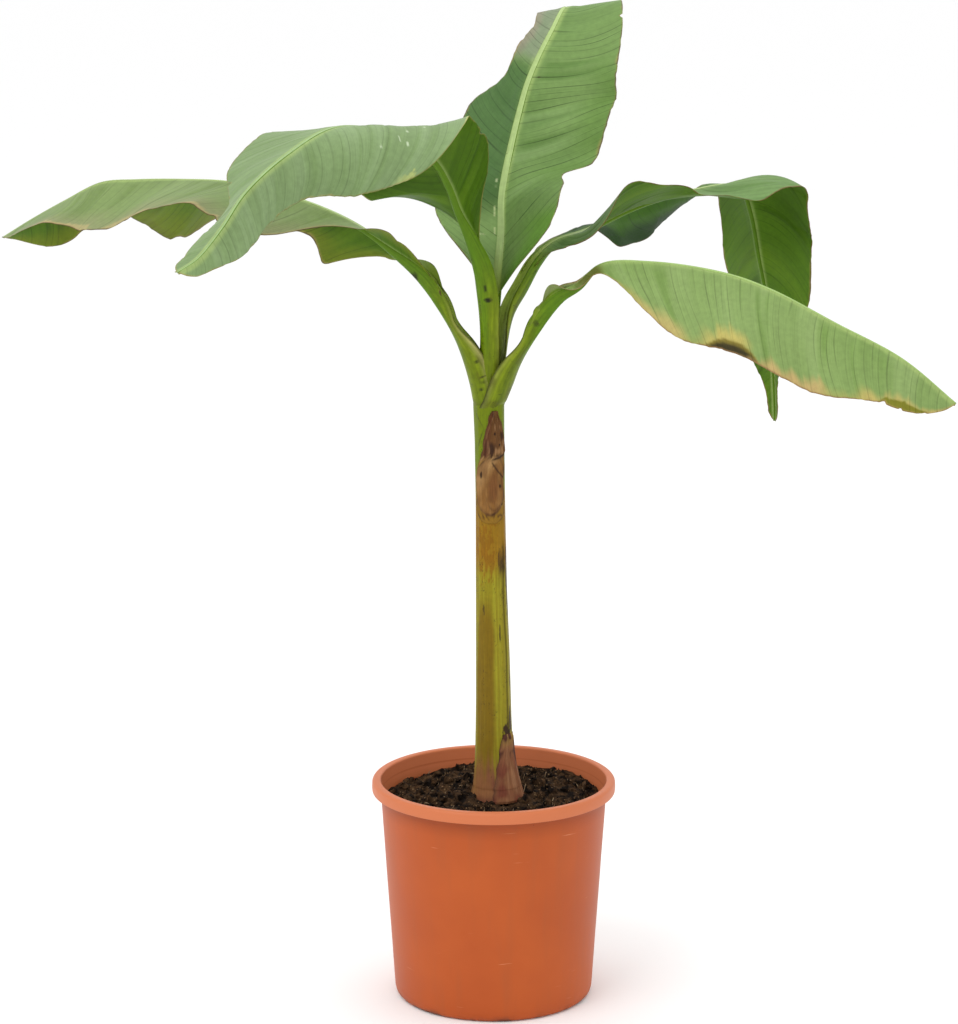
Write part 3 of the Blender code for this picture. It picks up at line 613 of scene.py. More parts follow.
def striped_skin(name, lines, roughness, bump_strength, contrast=0.16, ior=1.45, specular=0.3,
                 furrows=None, flecks=None):
    """Plant skin coloured by the piece's own tint, with fine lines that run across the UV's second axis.
    lines is how many of them lie in a metre of each UV axis; furrows gives the same two numbers for the
    deeper, darker creases and their strength, and flecks the size of a cell and the flecks' radius."""
    made, tree, shader = start_material(name, roughness, ior, specular)
    tint = add(tree, "ShaderNodeVertexColor", layer_name="tint")
    run = (add(tree, "ShaderNodeUVMap", uv_map="run"), 0)
    place = (add(tree, "ShaderNodeTexCoord"), "Object")
    drawn = add(tree, "ShaderNodeMapping", {"Vector": run, "Scale": (*lines, 1.0)})
    fine = add(tree, "ShaderNodeTexNoise", {
        "Vector": (drawn, 0), "Scale": 1.0, "Detail": 3.0, "Roughness": 0.6})
    shade = add(tree, "ShaderNodeMapRange", {
        "Value": (fine, 0), "From Min": 0.25, "From Max": 0.75,
        "To Min": 1 - contrast, "To Max": 1 + contrast})
    pores = noise_share(tree, place, PORE_SCALE, 3.0, 0.3, 0.7, 0.93, 1.07)
    factor = add(tree, "ShaderNodeMath", {0: (shade, 0), 1: pores}, operation="MULTIPLY")
    height = fine
    if furrows:
        # Creases lie one after another along the second axis; noise bends them and lets them fade.
        lengthwise, number, strength = furrows
        swing = noise_share(tree, run, (lengthwise, 0.25 * number, 1.0), 1.0, most=3.0)
        axes = add(tree, "ShaderNodeSeparateXYZ", {0: run})
        phase = add(tree, "ShaderNodeMath", {0: (axes, "Y"), 1: number, 2: swing}, operation="MULTIPLY_ADD")
        within = add(tree, "ShaderNodeMath", {0: (phase, 0)}, operation="FRACT")
        centred = add(tree, "ShaderNodeMath", {0: (within, 0), 1: 0.5}, operation="SUBTRACT")
        off = add(tree, "ShaderNodeMath", {0: (centred, 0)}, operation="ABSOLUTE")
        crease = add(tree, "ShaderNodeMapRange", {
            "Value": (off, 0), "From Min": 0.02, "From Max": 0.085, "To Min": 1.0, "To Max": 0.0})
        amount = noise_share(tree, run, (11.0, 0.8 * number, 1.0), 1.0, 0.40, 0.66,
                             0.12 * strength, strength, shift=(3.0, 7.0, 0.0))
        depth = add(tree, "ShaderNodeMath", {0: (crease, 0), 1: amount}, operation="MULTIPLY")
        kept = add(tree, "ShaderNodeMath", {0: 1.0, 1: (depth, 0)}, operation="SUBTRACT")
        factor = add(tree, "ShaderNodeMath", {0: (factor, 0), 1: (kept, 0)}, operation="MULTIPLY")
        height = add(tree, "ShaderNodeMath", {0: (fine, 0), 1: (depth, 0)}, operation="SUBTRACT")
    lined = add(tree, "ShaderNodeMix", {0: 1.0, 6: (tint, 0), 7: (factor, 0)}, data_type="RGBA",
                blend_type="MULTIPLY")
    colour = (lined, 2)
    if flecks:
        cell, radius = flecks
        dots = specks(tree, place, 1 / cell, 0.6 * (radius / cell), radius / cell, 0.9, 0.80)
        colour = painted(tree, colour, ("#33240f", dots))
    gloss = noise_share(tree, place, PORE_SCALE, 3.0, least=roughness - 0.08, most=roughness + 0.10)
    finish(tree, shader, colour, gloss, (height, 0), bump_strength, 0.0004)
    return made


def tube_piece(name, rings, look, tint, uv_scale):
    """Joins rings of points into a closed tube; the UV runs round it and along it, in metres."""
    rows, columns = rings.shape[:2]
    faces, corner_rows, corner_columns = grid_faces(rows, columns, True)
    first = list(range(columns))
    last = list(range((rows - 1) * columns, rows * columns))
    uv = np.stack([corner_columns / columns * uv_scale[0], corner_rows / (rows - 1) * uv_scale[1]], -1)
    uv = np.vstack([uv.reshape(-1, 2), np.zeros((2 * columns, 2))])
    return mesh_piece(name, rings.reshape(-1, 3), [*faces.tolist(), first[::-1], last], look,
                      tint.reshape(-1, 3), uv)


def round_stem(axis_x, reach, bearing, height):
    """Points at a reach from the stem's axis."""
    return np.stack([axis_x + reach * np.cos(bearing), reach * np.sin(bearing), height], -1)


def make_stem(look):
    """The whole roll, from the compost to where the stalks part."""
    height = np.linspace(STEM[0][0], STEM[-1][0], STEM_ROWS)[:, None]
    bearing = np.linspace(-180, 180, STEM_TURNS, endpoint=False)[None, :]
    height, bearing = height + 0 * bearing, bearing + 0 * height
    axis_x, radius = stem_axis(height)
    relief, line = stem_relief(bearing, height)
    reach = radius - STEM_SUNK + relief * rise(height, STEM[0][0], STEM[0][0] + 0.02)
    rings = round_stem(axis_x, reach, FRONT + np.radians(bearing), height)
    return tube_piece("false_stem_sheaths", rings, look, stem_tint(bearing, height, line), STEM_SKIN)


sheath_look = striped_skin("living_leaf_sheath", (900.0, 26.0), 0.44, 0.35, specular=0.15,
                           flecks=(0.0042, 0.0005))
settle(make_stem(sheath_look), "stem_sheath", "false_stem")


# -------------------------------------------------------------------------------------- dead sheaths
# Where old leaves were cut away, the stump of the sheath has died and dried.  The one high on the
# front is a purple-brown papery flap over a long tan scar with a raised rim; the one at the foot is a
# brownish pink husk, split and frayed at its edge.

SHEATH_ROWS = 150
SHEATH_COLUMNS = 90
SHEATH_SUNK = 0.0005
SHEATH_CLEAR = 0.0002
SHEATH_HALF_SKIN = 0.016


def shell_piece(name, upper, lower, look, upper_tint, lower_tint, uv_grid):
    """Closes two grids of points into a thin shell; both sides share one UV."""
    rows, columns = upper.shape[:2]
    faces, corner_rows, corner_columns = grid_faces(rows, columns, False)
    count = rows * columns
    top_side = uv_grid[corner_rows, corner_columns].reshape(-1, 2)
    edge = [r * columns for r in range(rows)] + [(rows - 1) * columns + c for c in range(1, columns)]
    edge += [r * columns + columns - 1 for r in range(rows - 2, -1, -1)] + list(range(columns - 2, 0, -1))
    after = edge[1:] + edge[:1]
    strip = [[a, b, b + count, a + count] for a, b in zip(edge, after)]
    flat_uv = uv_grid.reshape(-1, 2)
    strip_uv = flat_uv[[[a, b, b, a] for a, b in zip(edge, after)]]
    uv = np.vstack([top_side, top_side, strip_uv.reshape(-1, 2)])
    points = np.vstack([upper.reshape(-1, 3), lower.reshape(-1, 3)])
    tint = np.vstack([upper_tint.reshape(-1, 3), lower_tint.reshape(-1, 3)])
    return mesh_piece(name, points, [*faces.tolist(), *(faces + count).tolist(), *strip], look, tint, uv)


def clasping_sheath(name, look, foot, top, middle, half, thick, lean, half_at, relief_at, tint_at):
    """A closed plate that clasps the stem, leaning to one side above its middle by lean degrees.
    half_at narrows it with height, relief_at adds wrinkles."""
    share = np.linspace(0, 1, SHEATH_ROWS)[:, None]
    across = np.linspace(-1, 1, SHEATH_COLUMNS)[None, :]
    share, across = share + 0 * across, across + 0 * share
    height = foot + (top - foot) * share
    axis_x, radius = stem_axis(height)
    ragged = 0.0012 * drift(share * 18, 0 * share, int(foot * 999)) * np.abs(across) ** 8
    bearing = middle + lean * rise(share, 0.42, 0.66) + half * half_at(share) * across
    turn = np.radians(bearing) + ragged / radius
    rim = np.clip(1 - np.abs(across) ** 6, 0, 1) * between(share, 0.0, 0.04, 0.95, 1.0)
    reach = radius + SHEATH_CLEAR + thick * (0.25 + 0.75 * rim) + relief_at(share, across) * rim
    tint = tint_at(share, across)
    uv = np.stack([across * SHEATH_HALF_SKIN, share * (top - foot)], -1)
    return shell_piece(name, round_stem(axis_x, reach, turn, height),
                       round_stem(axis_x, radius - SHEATH_SUNK, turn, height), look, tint, tint, uv)


def scar(share, across):
    """The reach from the middle of the long cut scar and of the hollow inside it, each 1 on its rim."""
    return (oval(across, share, (-0.02, 0.345), (0.90, 0.255)),
            oval(across, share, (0.22, 0.32), (0.50, 0.19)))


def dried_relief(share, across):
    """Wrinkles of the flap, the scar's raised rim and the narrow ridges inside it."""
    outer, inner = scar(share, across)
    rims = 0.0011 * ridge(outer, 1.0, 0.10) + 0.0006 * ridge(inner, 1.0, 0.10)
    hollow = -0.0009 * (1 - rise(outer, 0.6, 0.95))
    folds = 0.0012 * drift(across * 4, share * 9, 51) + 0.0006 * drift(across * 12, share * 14, 52)
    lip = 0.0012 * ridge(share - 0.04 * across, 0.60, 0.018)
    creases = 0.00025 * drift(across * 26, share * 10, 53)
    pleats = -0.0007 * ridge(share, 0.06, 0.03) * drift(across * 6, share * 30 + across * 2, 54)
    return rims + hollow + rise(share, 0.56, 0.64) * folds + lip + creases + pleats


def dried_tint(share, across):
    """Tan scar with dark rims and pleats below, dark purple-brown flap above with painted highlights and a
    painted shadow under its lip, a few black scabs.
    """
    streak = drift(across * 9, share * 7, 55)
    blotch = drift(across * 3, share * 9, 56)
    outer, inner = scar(share, across)
    broken = rise(drift(across * 6, share * 12, 57), -0.5, 0.5)
    right = 0.55 + 0.4 * rise(across, -0.2, 0.3)
    slant = ridge(share + 0.16 * (across + 0.05), 0.545, 0.009) * between(across, -0.12, 0.0, 0.85, 0.95)
    pleat = rise(drift(across * 8, share * 40 + across * 3, 54), -0.1, 0.3) * ridge(share, 0.06, 0.03)
    flap = rise(share + 0.03 * streak, 0.585, 0.62)
    # Painted shadow: a dark band on the scar just under the flap's raised lip.
    painted_shadow_under_lip = ridge(share - 0.04 * across, 0.575, 0.016) * rise(across, -0.3, 0.1)
    colour = tinted(
        "#7c5528",
        ("#a27e50", rise(share - 0.25 * across, 0.35, 0.60) * 0.8),
        ("#9a7444", rise(streak, 0.0, 0.9) * 0.35),
        ("#6b4222", (1 - rise(inner, 0.3, 1.0)) * 0.75),
        ("#64401f", rise(blotch, 0.2, 0.9) * 0.6),
        ("#85631a", rise(outer, 1.02, 1.14) * (1 - rise(share, 0.5, 0.6)) * 0.9),
        ("#2e1a0c", ridge(outer, 1.05, 0.065) * right * (0.4 + 0.6 * broken)),
        ("#4a2c16", ridge(inner, 1.05, 0.07) * 0.5 * broken),
        ("#23130a", slant * 0.9),
        ("#4a2c12", pleat * 0.8),
        ("#62401f", flap),
        ("#2e1a10", flap * rise(blotch, -0.1, 0.5) * 0.85),
        # Painted highlights: pale patches on the flap stand for light on its folds.
        ("#96704a", flap * rise(drift(across * 7, share * 14, 58), 0.15, 0.7) * 0.75),
        ("#4f2814", flap * (1 - rise(np.abs(across + 0.66), 0.12, 0.34)) * 0.6),
        ("#241208", painted_shadow_under_lip * 0.95))
    for at, size in (((-0.55, 0.43), (0.08, 0.035)), ((0.62, 0.33), (0.07, 0.018)),
                     ((0.72, 0.17), (0.08, 0.014)), ((-0.05, 0.80), (0.10, 0.015)),
                     ((0.35, 0.70), (0.09, 0.012))):
        colour = tinted(colour, ("#1c0e07", (1 - rise(oval(across, share, at, size), 0.6, 1.2)) * 0.9))
    return tinted(colour, ("#33200f", np.abs(across) ** 10 * 0.6))


def dried_half(share):
    """The dried sheath's width: round at its foot, a waist above the scar, and a blunt top."""
    foot_gap = np.clip(1 - share / 0.13, 0, 1)
    top_gap = np.clip((share - 0.66) / 0.34, 0, 1)
    return np.sqrt(1 - 0.9 * foot_gap ** 2) - 0.2 * rise(share, 0.48, 0.60) - 0.62 * top_gap ** 1.5


def foot_relief(share, across):
    """Soft wrinkles."""
    return 0.0008 * drift(across * 4, share * 3, 61) + 0.0004 * drift(across * 11, share * 5, 62)


def foot_tint(share, across):
    """Brownish pink, streaked and blotched, with dark margins."""
    streak = drift(across * 8, share * 3, 63)
    blotch = drift(across * 3, share * 6, 64)
    return tinted(
        "#85583a",
        ("#a27654", rise(streak, 0.0, 0.8) * 0.6),
        ("#6c3026", rise(blotch, 0.0, 0.7) * (1 - rise(share, 0.4, 0.8)) * 0.7),
        ("#3a1c18", rise(share + 0.15 * streak, 0.62, 0.75) * rise(blotch, -0.3, 0.3) * 0.85),
        ("#8e7a34", rise(share, 0.75, 1.0) * (1 - rise(blotch, -0.2, 0.3)) * 0.7),
        ("#3a1f18", np.abs(across) ** 9 * 0.7))


dead_look = striped_skin("dead_leaf_sheath", (1100.0, 90.0), 0.78, 0.55, contrast=0.22, ior=1.4)
dried = clasping_sheath("dried_sheath_scar", dead_look, 0.600, 0.738, -91, 60, 0.0016, 20,
                        dried_half, dried_relief, dried_tint)
settle(dried, "dry_sheath", "dried_sheath")
husk = clasping_sheath("foot_sheath_husk", dead_look, COMPOST_TOP + 0.0003, 0.335, -38, 62, 0.0018, 0,
                       lambda share: 1 - 0.62 * share ** 1.3, foot_relief, foot_tint)
settle(husk, "dry_sheath", "foot_sheath")


# --------------------------------------------------------------------------------------- leaf stalks
# Each leaf sheath narrows into a fleshy stalk, round on its back and channelled above, that runs on to
# the leaf's tip as the midrib.  The outer sheaths clasp the inner ones and cross at the front in a
# slanting seam.  The skin is smooth and olive green, paler on the midrib, with a few dark bruises.

SHEATH_THICK = 0.0032
SHEATH_MARGIN = 0.0007
SHEATH_EDGE_REACH = 0.0145
FOOT_FADE = 0.018
STRAIGHT_ROOT = 0.030
STALK_KEEL = 0.0092
STALK_EDGE = 0.0085
STALK_CHANNEL = 0.0058
STALK_LIP = 0.0008
STALK_TAPER = 0.12
# The inner side is this much narrower than the back, and fibres make a section this much uneven.
STALK_INSIDE = 0.84
STALK_FIBRES = 0.02
RIB_TAPER = 0.78
RIB_CHANNEL = 0.0004
STALK_SKIN = 0.045
# Rows below the foot, along the stalk and along the midrib, and points across a section's one side.
RIB_ROWS = (24, 130, 170)
RIB_RING = 21
RIB_SAMPLES = 1200
SPAN_SAMPLES = 60
UP = np.array([0.0, 0.0, 1.0])

# Each leaf: the bearing of its stalk in degrees from +X, the greatest half width of its blade, the share
# of the length that is stalk, and the shape of the outline.  A station is a point of the rib, then fold
# and curl of the left half and of the right half in degrees.  Its last two values are the widths of the
# left and right halves there, as shares of the even outline's.  The clasp is the sheath's radius, its arc
# length to the left and to the right of the middle, and how far down the stem it starts.  The opening
# is where along the rib its margins start to draw back, where they have, and where the open stalk is
# whole.  The girth is half the open stalk's width.
LEAVES = {
    "upright": dict(
        heading=87, half_width=0.115, stalk=0.21, full=0.2, tip=0.5, wing_to=0.0,
        clasp=(0.0125, 0.016, 0.016, 0.0), opening=(0.0, 0.06, 0.14), girth=0.0095,
        stations=[
            (-0.0055, 0.012, 0.7453, 60, 0, 60, 0, 0.75, 0.92),
            (-0.003, 0.012, 0.834, 60, 0, 60, 0, 0.75, 0.92),
            (0.004, 0.014, 0.9, 40, 0, 60, 0, 0.72, 0.92),
            (0.008, 0.018, 0.943, 20, 0, 52, 0, 0.7, 0.92),
            (0.009, 0.025, 0.99, 15, 0, 44, 0, 0.72, 0.88),
            (0.012, 0.03, 1.011, -5, 0, 30, 0, 0.75, 0.7),
            (0.017, 0.036, 1.035, -30, 0, 5, -5, 0.75, 0.88),
            (0.029, 0.05, 1.085, -42, 0, 0, -5, 0.76, 0.92),
            (0.04, 0.062, 1.123, -30, -15, -3, -5, 0.38, 0.93),
            (0.054, 0.076, 1.155, -15, -10, 0, 0, 0.3, 0.86),
            (0.07, 0.096, 1.184, -12, -10, 2, 0, 0.28, 0.84),
            (0.085, 0.13, 1.208, -14, -10, 8, 0, 0.45, 0.86),
            (0.096, 0.17, 1.2, -20, 0, 8, 0, 0.75, 0.92),
            (0.103, 0.2, 1.165, -30, 0, 0, 0, 0.75, 0.92),
        ]),
    "left_front": dict(
        heading=217, half_width=0.115, stalk=0.22, full=0.3, tip=0.38, wing_to=0.05,
        clasp=(0.0165, 0.026, 0.022, 0.0), opening=(0.0, 0.09, 0.15), girth=0.0176,
        stations=[
            (-0.0156, -0.0072, 0.7453, 60, 0, 60, 0, 0.87, 0.95),
            (-0.0095, -0.013, 0.83, 60, 0, 60, 0, 0.87, 0.95),
            (-0.014, -0.025, 0.9, 60, 0, 60, 0, 0.95, 0.8),
            (-0.027, -0.035, 0.943, 85, 0, 30, 0, 0.95, 0.35),
            (-0.042, -0.05, 0.982, 90, 0, -10, 0, 0.9, 0.86),
            (-0.053, -0.065, 1.014, 85, -10, -45, 0, 0.78, 1.08),
            (-0.071, -0.085, 1.047, 82, -40, -28, 0, 0.6, 1.0),
            (-0.109, -0.12, 1.079, 40, -122, -15, 0, 1.0, 1.0),
            (-0.18, -0.185, 1.095, 0, -110, -8, 0, 0.92, 1.02),
            (-0.232, -0.24, 1.07, -50, -60, -8, 0, 0.55, 0.94),
            (-0.276, -0.29, 1.033, -70, -30, -20, 0, 0.6, 0.55),
            (-0.3, -0.325, 0.998, -70, -10, -10, 0, 0.7, 0.6),
            (-0.325, -0.348, 0.968, -50, -10, -5, 0, 0.72, 1.0),
            (-0.346, -0.362, 0.955, -30, -10, -5, 0, 1.2, 1.6),
        ]),
    "far_left": dict(
        heading=173, half_width=0.112, stalk=0.215, full=0.35, tip=0.62, wing_to=0.1,
        clasp=(0.019, 0.044, 0.036, 0.016), opening=(0.03, 0.105, 0.135), girth=0.009,
        stations=[
            (-0.0185, 0.0015, 0.7453, 60, 0, 60, 0, 1.0, 1.0),
            (-0.0245, 0.003, 0.775, 60, 0, 60, 0, 1.0, 1.0),
            (-0.038, 0.006, 0.817, 60, 0, 60, 0, 1.0, 1.0),
            (-0.061, 0.012, 0.863, 60, 0, 60, 0, 1.0, 1.3),
            (-0.085, 0.018, 0.894, 60, 0, 50, 0, 1.2, 2.0),
            (-0.119, 0.022, 0.924, 55, 0, -40, 0, 2.0, 1.7),
            (-0.159, 0.028, 0.954, 5, 0, -68, 0, 0.55, 1.35),
            (-0.202, 0.035, 0.975, -25, 0, -62, 0, 0.6, 0.5),
            (-0.262, 0.04, 0.995, -20, 0, -40, 0, 1.0, 0.8),
            (-0.32, 0.05, 1.006, -8, 0, -30, 0, 1.0, 1.0),
            (-0.376, 0.055, 1.008, -12, 0, -42, 0, 1.0, 1.15),
            (-0.431, 0.06, 1.007, -25, 0, -36, 0, 1.0, 0.9),
            (-0.475, 0.065, 1.003, -25, 0, -30, 0, 1.0, 0.6),
            (-0.519, 0.07, 0.981, -10, 0, -40, 0, 0.95, 0.75),
            (-0.56, 0.075, 0.958, -5, 0, -45, 0, 1.0, 1.0),
            (-0.597, 0.08, 0.935, -5, 0, -30, 0, 1.0, 1.0),
        ]),
    "right_back": dict(
        heading=35, half_width=0.112, stalk=0.2, full=0.22, tip=0.6, wing_to=0.02,
        clasp=(0.0145, 0.02, 0.02, 0.0), opening=(0.0, 0.07, 0.14), girth=0.01,
        stations=[
            (0.0038, 0.0069, 0.7453, 60, 0, 60, 0, 1.0, 0.94),
            (0.01, 0.01, 0.8, 60, 0, 60, 0, 1.0, 0.94),
            (0.0185, 0.017, 0.853, 60, 0, 60, 0, 0.8, 0.94),
            (0.0345, 0.03, 0.882, 50, 0, 50, 0, 0.5, 0.94),
            (0.053, 0.052, 0.91, 25, 0, 20, 0, 0.6, 0.9),
            (0.076, 0.08, 0.929, 5, 0, -18, 0, 0.35, 0.36),
            (0.118, 0.105, 0.943, -5, 0, 35, 0, 0.4, 0.82),
            (0.162, 0.13, 0.961, -38, 0, 25, 0, 0.9, 0.84),
            (0.187, 0.145, 0.969, -40, 0, 14, 0, 1.0, 0.9),
            (0.22, 0.16, 0.977, -35, 0, 6, 0, 1.0, 0.9),
            (0.254, 0.18, 0.982, -28, 0, -4, 0, 0.96, 0.92),
            (0.291, 0.205, 0.985, -15, 0, 25, -45, 0.74, 0.92),
            (0.311, 0.225, 0.979, 0, 0, 38, -65, 0.5, 0.93),
            (0.326, 0.24, 0.942, 10, 0, 25, -40, 0.72, 0.93),
            (0.337, 0.245, 0.887, 12, 0, 5, -10, 0.92, 0.9),
            (0.346, 0.25, 0.845, 15, 0, -8, 0, 1.0, 0.9),
            (0.355, 0.255, 0.78, 15, 0, -20, 0, 1.0, 0.8),
            (0.36, 0.255, 0.715, 10, 0, -20, 0, 0.4, 0.3),
            (0.362, 0.255, 0.675, 10, 0, -20, 0, 0.9, 0.9),
        ]),
    "right_front": dict(
        heading=-18, half_width=0.108, stalk=0.19, full=0.42, tip=0.66, wing_to=0.14,
        clasp=(0.0203, 0.033, 0.0345, 0.012), opening=(0.028, 0.095, 0.12), girth=0.0092,
        stations=[
            (0.0057, -0.004, 0.7453, 60, 0, 60, 0, 1.0, 1.0),
            (0.0145, -0.011, 0.77, 60, 0, 60, 0, 1.0, 1.0),
            (0.0265, -0.022, 0.803, 60, 0, 60, 0, 1.0, 1.0),
            (0.055, -0.036, 0.853, 60, 0, 60, 0, 0.4, 0.4),
            (0.078, -0.045, 0.88, 60, 0, 60, 0, 1.2, 2.0),
            (0.099, -0.055, 0.895, 30, 0, -15, 0, 0.8, 1.2),
            (0.124, -0.066, 0.922, -20, 0, -40, 0, 0.8, 0.8),
            (0.183, -0.09, 0.928, -40, 0, -40, -20, 1.0, 0.92),
            (0.266, -0.125, 0.92, -50, 0, -35, -20, 1.0, 0.96),
            (0.318, -0.145, 0.904, -55, 0, -30, -20, 1.0, 0.97),
            (0.392, -0.17, 0.868, -50, 0, -35, -20, 1.0, 0.9),
            (0.466, -0.195, 0.831, -50, 0, -30, -20, 1.0, 0.85),
            (0.526, -0.215, 0.783, -50, 0, -30, -20, 1.0, 1.15),
        ]),
}
# Bruises of the stalks: the leaf, position round the back (-1 to 1) and along the rib, sizes, strength.
BRUISES = [
    ("far_left", (0.1, 0.175), (0.5, 0.006), 0.9),
    ("far_left", (-0.7, 0.115), (0.25, 0.012), 0.6),
    ("left_front", (-0.72, 0.128), (0.24, 0.010), 0.95),
    ("left_front", (-0.60, 0.150), (0.14, 0.004), 0.8),
    ("left_front", (0.45, 0.132), (0.16, 0.003), 0.95),
    ("left_front", (0.38, 0.146), (0.07, 0.005), 0.9),
    ("far_left", (0.72, 0.050), (0.05, 0.003), 0.8),
    ("far_left", (0.66, 0.026), (0.06, 0.003), 0.8),
    ("far_left", (0.60, 0.018), (0.05, 0.002), 0.8),
    ("right_front", (0.85, 0.135), (0.20, 0.006), 0.6),
    ("right_front", (-0.6, 0.118), (0.20, 0.004), 0.5),
]


def unit(vectors):
    """Vectors brought to a length of one."""
    return vectors / np.linalg.norm(vectors, axis=-1, keepdims=True)


def smooth_line(stations, count):
    """Samples a smooth curve through the stations, evenly spaced along the rib, and gives its length."""
    rows = np.array(stations, float)
    rows = np.vstack([2 * rows[0] - rows[1], rows, 2 * rows[-1] - rows[-2]])
    knots = np.concatenate([[0], np.cumsum(np.linalg.norm(np.diff(rows[:, :3], axis=0), axis=1) ** 0.5)])
    pieces = []
    for i in range(1, len(rows) - 2):
        p0, p1, p2, p3 = rows[i - 1:i + 3]
        t0, t1, t2, t3 = knots[i - 1:i + 3]
        t = np.linspace(t1, t2, SPAN_SAMPLES, endpoint=False)[:, None]
        a1 = ((t1 - t) * p0 + (t - t0) * p1) / (t1 - t0)
        a2 = ((t2 - t) * p1 + (t - t1) * p2) / (t2 - t1)
        a3 = ((t3 - t) * p2 + (t - t2) * p3) / (t3 - t2)
        b1 = ((t2 - t) * a1 + (t - t0) * a2) / (t2 - t0)
        b2 = ((t3 - t) * a2 + (t - t1) * a3) / (t3 - t1)
        pieces.append(((t2 - t) * b1 + (t - t1) * b2) / (t2 - t1))
    line = np.vstack(pieces + [rows[-2:-1]])
    walked = np.concatenate([[0], np.cumsum(np.linalg.norm(np.diff(line[:, :3], axis=0), axis=1))])
    even = np.linspace(0, walked[-1], count)
    return np.stack([np.interp(even, walked, column) for column in line.T], axis=1), walked[-1]


def left_of(leaf, along):
    """The level direction to the left of a leaf, made square to its rib."""
    turn = math.radians(leaf["heading"])
    side = np.array([-math.sin(turn), math.cos(turn), 0.0])
    return unit(side - (along @ side)[:, None] * along)


def lay_rib(leaf):
    """The rib's points, folds, and its along, left and upper directions, and its length."""
    line, length = smooth_line(leaf["stations"], RIB_SAMPLES)
    along = unit(np.gradient(line[:, :3], axis=0))
    left = left_of(leaf, along)
    return np.hstack([line, along, left, np.cross(along, left)]), length


def rib_at(rib, shares):
    """Points, folds and directions of a rib at shares of its length; beyond its ends it stands still."""
    known = np.linspace(0, 1, len(rib))
    rows = np.stack([np.interp(shares, known, column) for column in rib.T], axis=-1)
    return rows[:, :3], rows[:, 3:9], unit(rows[:, 9:12]), unit(rows[:, 12:15]), unit(rows[:, 15:18])


def rib_half_width(share):
    """Half width of the midrib's upper face at a share of the blade."""
    return 0.0066 - 0.0016 * rise(share, 0.0, 0.15) - 0.0039 * np.clip(share, 0, 1)


def rib_edge_height(share):
    """Height of the midrib's edges above the rib line, where the blade's halves spring from it."""
    return STALK_EDGE * (1 - rise(share, 0.0, 0.16)) + 0.0004


def make_stalk(name, leaf, look):
    """Sheath, stalk and midrib of one leaf in one tapering piece."""
    rib, length = lay_rib(leaf)
    clasp_radius, clasp_left, clasp_right, drop = leaf["clasp"]
    narrows, narrowed, opened = leaf["opening"]
    stalk = leaf["stalk"]
    walked = np.concatenate([np.linspace(-drop, 0, RIB_ROWS[0] if drop else 0, endpoint=False),
                             np.linspace(0, stalk * length, RIB_ROWS[1], endpoint=False),
                             np.linspace(stalk * length, length, RIB_ROWS[2])])
    point, _, along, _, _ = rib_at(rib, np.clip(walked / length, 0, 1))
    point = point + np.minimum(walked, 0)[:, None] * UP
    bent = np.clip(walked / STRAIGHT_ROOT, 0, 1)[:, None]
    along = unit(UP * (1 - bent) + along * bent)
    left = left_of(leaf, along)
    upper = np.cross(along, left)

    foot = leaf["stations"][0]
    axis_gap = math.hypot(foot[0] - STEM[-1][1], foot[1])
    blade_share = (walked / length - stalk) / (1 - stalk)
    stalk_share = np.clip(walked / length / stalk, 0, 1)
    free = rise(walked, 0.7 * narrowed, opened)[:, None, None]
    t = np.linspace(-1, 1, RIB_RING)[None, :]

    # A crescent, measured from the middle of its back: the clasping sheath.
    reach = np.where(t < 0, clasp_right, clasp_left)
    narrowing = np.clip((walked - narrows) / (narrowed - narrows), 0, 1)[:, None] ** 1.8
    least = max(SHEATH_EDGE_REACH, 1.2 * leaf["girth"])
    arc_length = reach * (1 - narrowing) + np.minimum(reach, least) * narrowing
    arc_length = arc_length * (1 + 6 * np.maximum(-walked, 0)[:, None])
    fade = 1 - rise(walked, -drop, FOOT_FADE - drop)[:, None]
    radius = clasp_radius - SHEATH_THICK * fade
    angle = t * arc_length / radius
    thick = (SHEATH_THICK * (1 - t ** 4) + SHEATH_MARGIN) * (1 - 0.7 * fade)
    sheath_back, sheath_front = [
        np.stack([around * np.sin(angle), axis_gap - around * np.cos(angle)], -1)
        for around in (radius, radius - thick)]

    # The open stalk, and the midrib that it becomes.
    turns = t * math.pi / 2
    ribbed = rise(blade_share, -0.06, 0.12)
    wide = leaf["girth"] * (1 - STALK_TAPER * stalk_share) * (1 - ribbed)
    wide = (wide + (rib_half_width(blade_share) + 0.0006) * ribbed)[:, None] * np.sin(turns)
    level = rib_edge_height(blade_share)[:, None]
    flat = rise(blade_share, 0.0, 0.16)[:, None]
    slim = 1 - 0.25 * rise(blade_share, -0.05, 0.10)[:, None]
    keel = (STALK_KEEL - 0.0012 * flat) * slim * (1 - RIB_TAPER * np.clip(blade_share, 0, 1)[:, None])
    channel = STALK_CHANNEL * (1 - flat) + RIB_CHANNEL * flat
    back = np.stack([wide, level * np.sin(turns) ** 2 - keel * np.cos(turns) ** 0.8], -1)
    crown = level + STALK_LIP * (1 - 0.4 * flat) - channel * np.cos(turns)
    front = np.stack([wide * STALK_INSIDE, crown], -1)

    outer = sheath_back * (1 - free) + back * free
    inner = sheath_front * (1 - free) + front * free
    section = np.concatenate([outer, inner[:, ::-1]], axis=1)
    fibres = STALK_FIBRES * drift(np.arange(2 * RIB_RING)[None, :] / 1.6, walked[:, None] * 14, 72)
    section = section * (1 + fibres[..., None])
    rings = point[:, None] + section[..., :1] * left[:, None] + section[..., 1:] * upper[:, None]
    around = np.concatenate([t, 2 - t], axis=1) + 0 * walked[:, None]
    tint = stalk_tint(name, around, walked[:, None] + 0 * around, blade_share[:, None] + 0 * around)
    return tube_piece(name + "_leaf_rib", rings, look, tint, (STALK_SKIN, length + drop))


